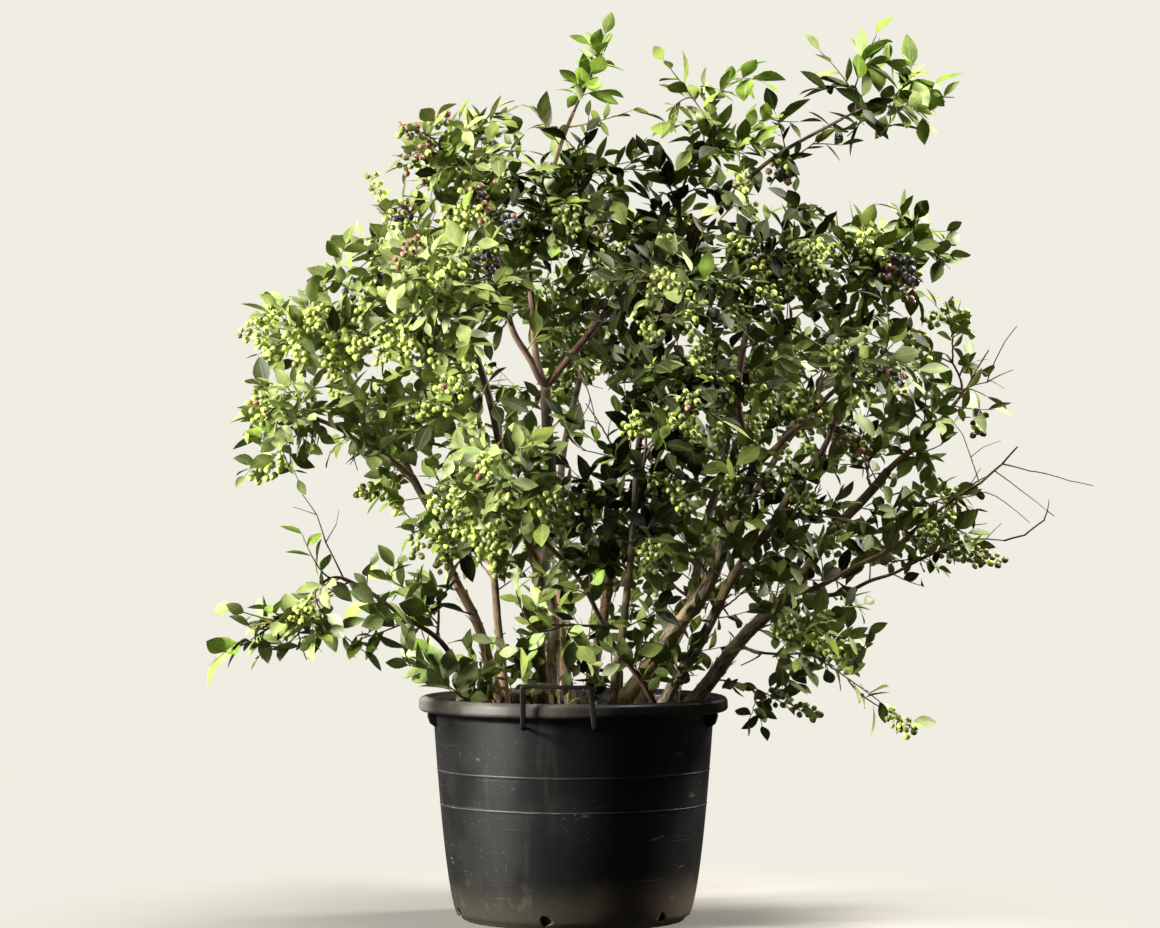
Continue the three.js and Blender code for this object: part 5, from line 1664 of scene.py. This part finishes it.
class BUSH_OT_pot(Operator):
    """Makes the pot with its rolled rim, ribs and drain holes, and the two handles"""

    bl_idname = "bush.pot"
    bl_label = "Pot and handles"

    def execute(self, context):
        settings = context.scene.bush_pot
        plastic = plastic_material("Black plastic", settings.plastic)
        tone = np.array(settings.plastic) * HANDLE_TONE
        dark = plastic_material("Black plastic, handles", tone, HANDLE_DIRT_AND_PAINTED_LIGHT)
        pot = Piece(lathe(pot_profile(), settings.sides, wobble=0.0008))
        cut_drains(pot.build("pot_shell", plastic, "pot_plastic", ["pot"]))
        Piece(*map(rib_block, RIBS)).build("rim_ribs", plastic, "pot_plastic", smooth=False)
        for name, turn in (("handle_front", 0), ("handle_back", 180)):
            Piece(handle_bar(TURN_OF_HANDLES + turn)).build(name + "_bar", dark, "pot_plastic", [name])
        return {"FINISHED"}


class BUSH_OT_soil(Operator):
    """Makes the potting mix with bark chips on it"""

    bl_idname = "bush.soil"
    bl_label = "Potting mix"

    def execute(self, context):
        settings = context.scene.bush_soil
        mulch = mulch_material("Potting mix", settings.mix_dark, settings.mix_light)
        Piece(soil_surface()).build("potting_mix", mulch, "potting_mix", ["soil"])
        chip = bark_material("Bark chips", (settings.mix_dark, settings.mix_light, (0.5, 0.36, 0.22)), 0.5)
        chips = Piece(bark_chips(np.random.default_rng(SEED + 1), settings.chips))
        chips.build("bark_chips", chip, "potting_mix", smooth=False)
        return {"FINISHED"}


class BUSH_OT_bark(Operator):
    """Makes the skin of every stem and bough, with ridges, knots and peeling strips"""

    bl_idname = "bush.bark"
    bl_label = "Stems and boughs"

    def execute(self, context):
        settings = context.scene.bush_bark
        tones = (settings.old_dark, settings.old_light, settings.peeled)
        old = bark_material("Old bark", tones, 0.5)
        greyed = [np.array(tone) * WEATHER for tone in tones]
        weathered = bark_material("Weathered bark", greyed, 0.25)
        tones = (settings.young_dark, settings.young_light, settings.peeled)
        # the boughs take less of the painted shade
        young = bark_material("Young bark", tones, 0.1, 0.3)
        rng = np.random.default_rng(SEED + 2)
        for order, (name, limb) in enumerate(limbs().items()):
            if name in BOUGHS:
                skin = Piece(bark_tube(limb, order, 16, settings.relief * 0.5))
                skin.build(name + "_bark", young, "young_bark", [name])
                continue
            skin = Piece(bark_tube(limb, order, 22, settings.relief))
            if limb.radii[0] > PEELS_FROM:
                skin.add(*bark_flakes(limb, settings.flakes, rng))
            skin.build(name + "_bark", weathered if name in WEATHERED else old, "old_bark", [name])
        return {"FINISHED"}


WEATHER = (0.75, 0.67, 0.59)  # what is left of the old bark's tones on weathered stems
PEELS_FROM = 0.008  # the foot radius of the thinnest stem whose bark peels
WEATHERED = ("stem_crossing", "stem_back", "stem_back_right", "stem_centre", "stem_peeling", "stem_left",
             "stem_left_upright", "stem_low_left")
FOLIAGE = ["foliage_" + name for name in MASSES]


class BUSH_OT_twigs(Operator):
    """Makes the green, woody and dead twigs of every mass"""

    bl_idname = "bush.twigs"
    bl_label = "Twigs"

    def execute(self, context):
        settings = context.scene.bush_twigs
        green = twig_material("Green twig", settings.green, (0.5, 0.46, 0.24))
        woody = twig_material("Woody twig", settings.woody, (0.42, 0.31, 0.22))
        rows = (
            ("twigs_woody", woody, ("leader", "shoot", "dead"), 16, 6),
            ("twigs_green", green, ("twig", "side", "sprout"), 9, 4),
        )
        for name, material, kinds, rings, sides in rows:
            Piece(twig_tubes(kinds, rings, sides)).build(name, material, "foliage", FOLIAGE)
        return {"FINISHED"}


class BUSH_OT_leaves(Operator):
    """Makes the leaves of every spray, in four tones"""

    bl_idname = "bush.leaves"
    bl_label = "Leaves"

    def execute(self, context):
        settings = context.scene.bush_leaves
        rng = np.random.default_rng(SEED + 3)
        tones = ("fresh", "sage", "plain", "deep")
        pieces = [Piece() for _ in tones]
        plans = (  # kinds of twig, and the spacing, the first share and the size of their leaves
            (("twig", "side"), settings.spacing, 0.2, settings.size),
            (("shoot",), settings.spacing * 1.25, 0.35, settings.size),
            (("sprout",), settings.spacing * 0.9, 0.3, settings.size * 0.72),
        )
        for kinds, spacing, first, size in plans:
            *shape, which, mass = grow_leaves(kinds, spacing, first, size, rng)
            tone = leaf_tones(which, mass, rng)
            for number, piece in enumerate(pieces):
                own = tone == number
                if own.any():
                    piece.add(*blades(*(column[own] for column in shape)))
        for name, piece in zip(tones, pieces):
            base = np.array(getattr(settings, name))
            pair = base * 0.85, lighter(base)
            gloss = 0.15 if name == "deep" else 0.36
            material = leaf_material("Leaf, " + name, *pair, base * 0.8 + 0.17, gloss)
            piece.build("leaves_" + name, material, "foliage", FOLIAGE)
        return {"FINISHED"}


class BUSH_OT_berries(Operator):
    """Makes the bunches of berries, from green over blushing to ripe, and their stalks"""

    bl_idname = "bush.berries"
    bl_label = "Berries"

    def execute(self, context):
        settings = context.scene.bush_berries
        centre, axis, radius, tone, _ = bunches()
        # the bright and green rows are one unripe colour painted lighter and darker, with blooms to match:
        # painted light and painted shade
        rows = (
            ("berries_unripe_painted_light", np.minimum(np.array(settings.unripe) * 1.1, 1), (0.80, 0.84, 0.55)),
            ("berries_unripe_painted_shade", np.array(settings.unripe) * 0.67, (0.60, 0.66, 0.40)),
            ("berries_blush", np.array(settings.blush), (0.62, 0.56, 0.44)),
            ("berries_ripe", np.array(settings.ripe), (0.36, 0.37, 0.44)),
        )
        for number, (name, base, bloom) in enumerate(rows):
            own = tone == number
            skin = berry_material(name.replace("_", " "), base, lighter(base), bloom)
            balls = Piece(berry_balls(centre[own], axis[own], radius[own]))
            balls.build(name, skin, "foliage", FOLIAGE)
        Piece(stalks()).build("berry_stalks", bpy.data.materials["Green twig"], "foliage", FOLIAGE)
        return {"FINISHED"}


class BUSH_OT_stage(Operator):
    """Sets up the pale floor, the soft lights, the background and the camera"""

    bl_idname = "bush.stage"
    bl_label = "Floor, lights and camera"

    def execute(self, context):
        settings = context.scene.bush_stage
        scene = context.scene
        backdrop = linear(settings.backdrop)
        make_floor(backdrop)
        make_world(scene, backdrop)
        for name, place, size, power, tint in LIGHTS:
            make_light(name, place, size, power, tint)
        camera = bpy.data.cameras.new("Camera")
        camera.lens, camera.sensor_width = settings.lens, 36.0
        camera.clip_end = 60.0
        eye = show("Camera", camera)
        eye.location = (CAMERA_SIDE, -settings.distance, settings.height)
        eye.rotation_euler = (math.radians(90), 0, 0)
        scene.camera = eye
        scene.view_settings.view_transform = "Standard"
        return {"FINISHED"}


CAMERA_SIDE = 0.0105  # metres to the right of the pot's middle
AIM = (0.05, 0.0, 0.8)  # what every light faces
LIGHTS = [  # name, place, size, power and tint
    ("Key", (-4.8, -1.7, 2.1), 1.3, 1060, (1.0, 0.98, 0.93)),
    ("Low", (-2.1, -1.1, 0.15), 0.6, 30, (1.0, 0.98, 0.93)),
    ("Top", (2.0, -0.2, 4.8), 1.2, 560, (1.0, 0.98, 0.92)),
    ("Back", (3.8, 2.0, 2.8), 1.2, 400, (1.0, 0.95, 0.88)),
]


def make_light(name, place, size, power, tint):
    """A square soft light that faces the plant."""
    lamp = bpy.data.lights.new(name, "AREA")
    lamp.size, lamp.energy, lamp.color = size, power, tint
    thing = show(name, lamp)
    way = unit(np.array(AIM) - np.array(place))
    thing.location = place
    thing.rotation_euler = (math.acos(-way[2]), 0, math.atan2(-way[0], way[1]))


def make_floor(backdrop):
    """A wide flat disc that takes shadows near the pot and fades into the plain background further out."""
    radii, under, top = [0, 400, 2500, 9000], -40.0, -0.5
    profile = np.array([[r, under] for r in radii] + [[r, top] for r in radii[::-1]])
    material, tree, shader, coords = new_material("Pale floor", Roughness=0.9)
    shader.inputs["Base Color"].default_value = (*(FLOOR_TONE * np.array(backdrop[:3])), 1.0)
    dim = put(tree, "Emission", {"Color": backdrop, "Strength": AMBIENT})
    glow = put(tree, "Emission", {"Color": backdrop, "Strength": 1.0})
    seen = put(tree, "LightPath").outputs["Is Camera Ray"]
    out = put(tree, "VectorMath", {0: coords["Object"]}, operation="LENGTH").outputs["Value"]
    fade = ramp(tree, out, 0.26, 1.0)
    plain = put(tree, "MixShader", {0: fade, 1: shader.outputs[0], 2: glow.outputs[0]})
    both = put(tree, "MixShader", {0: seen, 1: dim.outputs[0], 2: plain.outputs[0]})
    tree.links.new(both.outputs[0], tree.nodes["Material Output"].inputs["Surface"])
    Piece(lathe(profile, 96)).thing("floor", material, smooth=False)


FLOOR_TONE = 0.27  # how light the floor is near the pot, against the background


def make_world(scene, backdrop):
    """The background shows its full colour, and lights the plant more weakly."""
    world = bpy.data.worlds.new("Studio")
    world.use_nodes = True
    tree = world.node_tree
    shown = tree.nodes["Background"]
    shown.inputs["Color"].default_value = backdrop
    dim = put(tree, "Background", {"Color": backdrop, "Strength": AMBIENT})
    seen = put(tree, "LightPath").outputs["Is Camera Ray"]
    both = put(tree, "MixShader", {0: seen, 1: dim.outputs[0], 2: shown.outputs[0]})
    tree.links.new(both.outputs[0], tree.nodes["World Output"].inputs["Surface"])
    scene.world = world


AMBIENT = 0.07  # how strongly the background lights the plant


class BUSH_PT_panel(Panel):
    """Lists the operators, each with its sizes and colours"""

    bl_label = "Potted blueberry bush"
    bl_space_type = "VIEW_3D"
    bl_region_type = "UI"
    bl_category = "Bush"

    def draw(self, context):
        for key, operator, settings in PARTS:
            box = self.layout.box()
            box.operator(operator.bl_idname)
            for name in settings.__annotations__:
                box.prop(getattr(context.scene, key), name)


PARTS = [
    ("bush_pot", BUSH_OT_pot, BushPotSettings),
    ("bush_soil", BUSH_OT_soil, BushSoilSettings),
    ("bush_bark", BUSH_OT_bark, BushBarkSettings),
    ("bush_twigs", BUSH_OT_twigs, BushTwigSettings),
    ("bush_leaves", BUSH_OT_leaves, BushLeafSettings),
    ("bush_berries", BUSH_OT_berries, BushBerrySettings),
    ("bush_stage", BUSH_OT_stage, BushStageSettings),
]


def register():
    for key, operator, settings in PARTS:
        bpy.utils.register_class(settings)
        setattr(bpy.types.Scene, key, bpy.props.PointerProperty(type=settings))
        bpy.utils.register_class(operator)
    bpy.utils.register_class(BUSH_PT_panel)


def unregister():
    bpy.utils.unregister_class(BUSH_PT_panel)
    for key, operator, settings in reversed(PARTS):
        bpy.utils.unregister_class(operator)
        delattr(bpy.types.Scene, key)
        bpy.utils.unregister_class(settings)


def main():
    """Makes every piece."""
    register()
    bpy.ops.bush.pot()
    bpy.ops.bush.soil()
    bpy.ops.bush.bark()
    bpy.ops.bush.twigs()
    bpy.ops.bush.leaves()
    bpy.ops.bush.berries()
    bpy.ops.bush.stage()


if __name__ == "__main__":
    main()
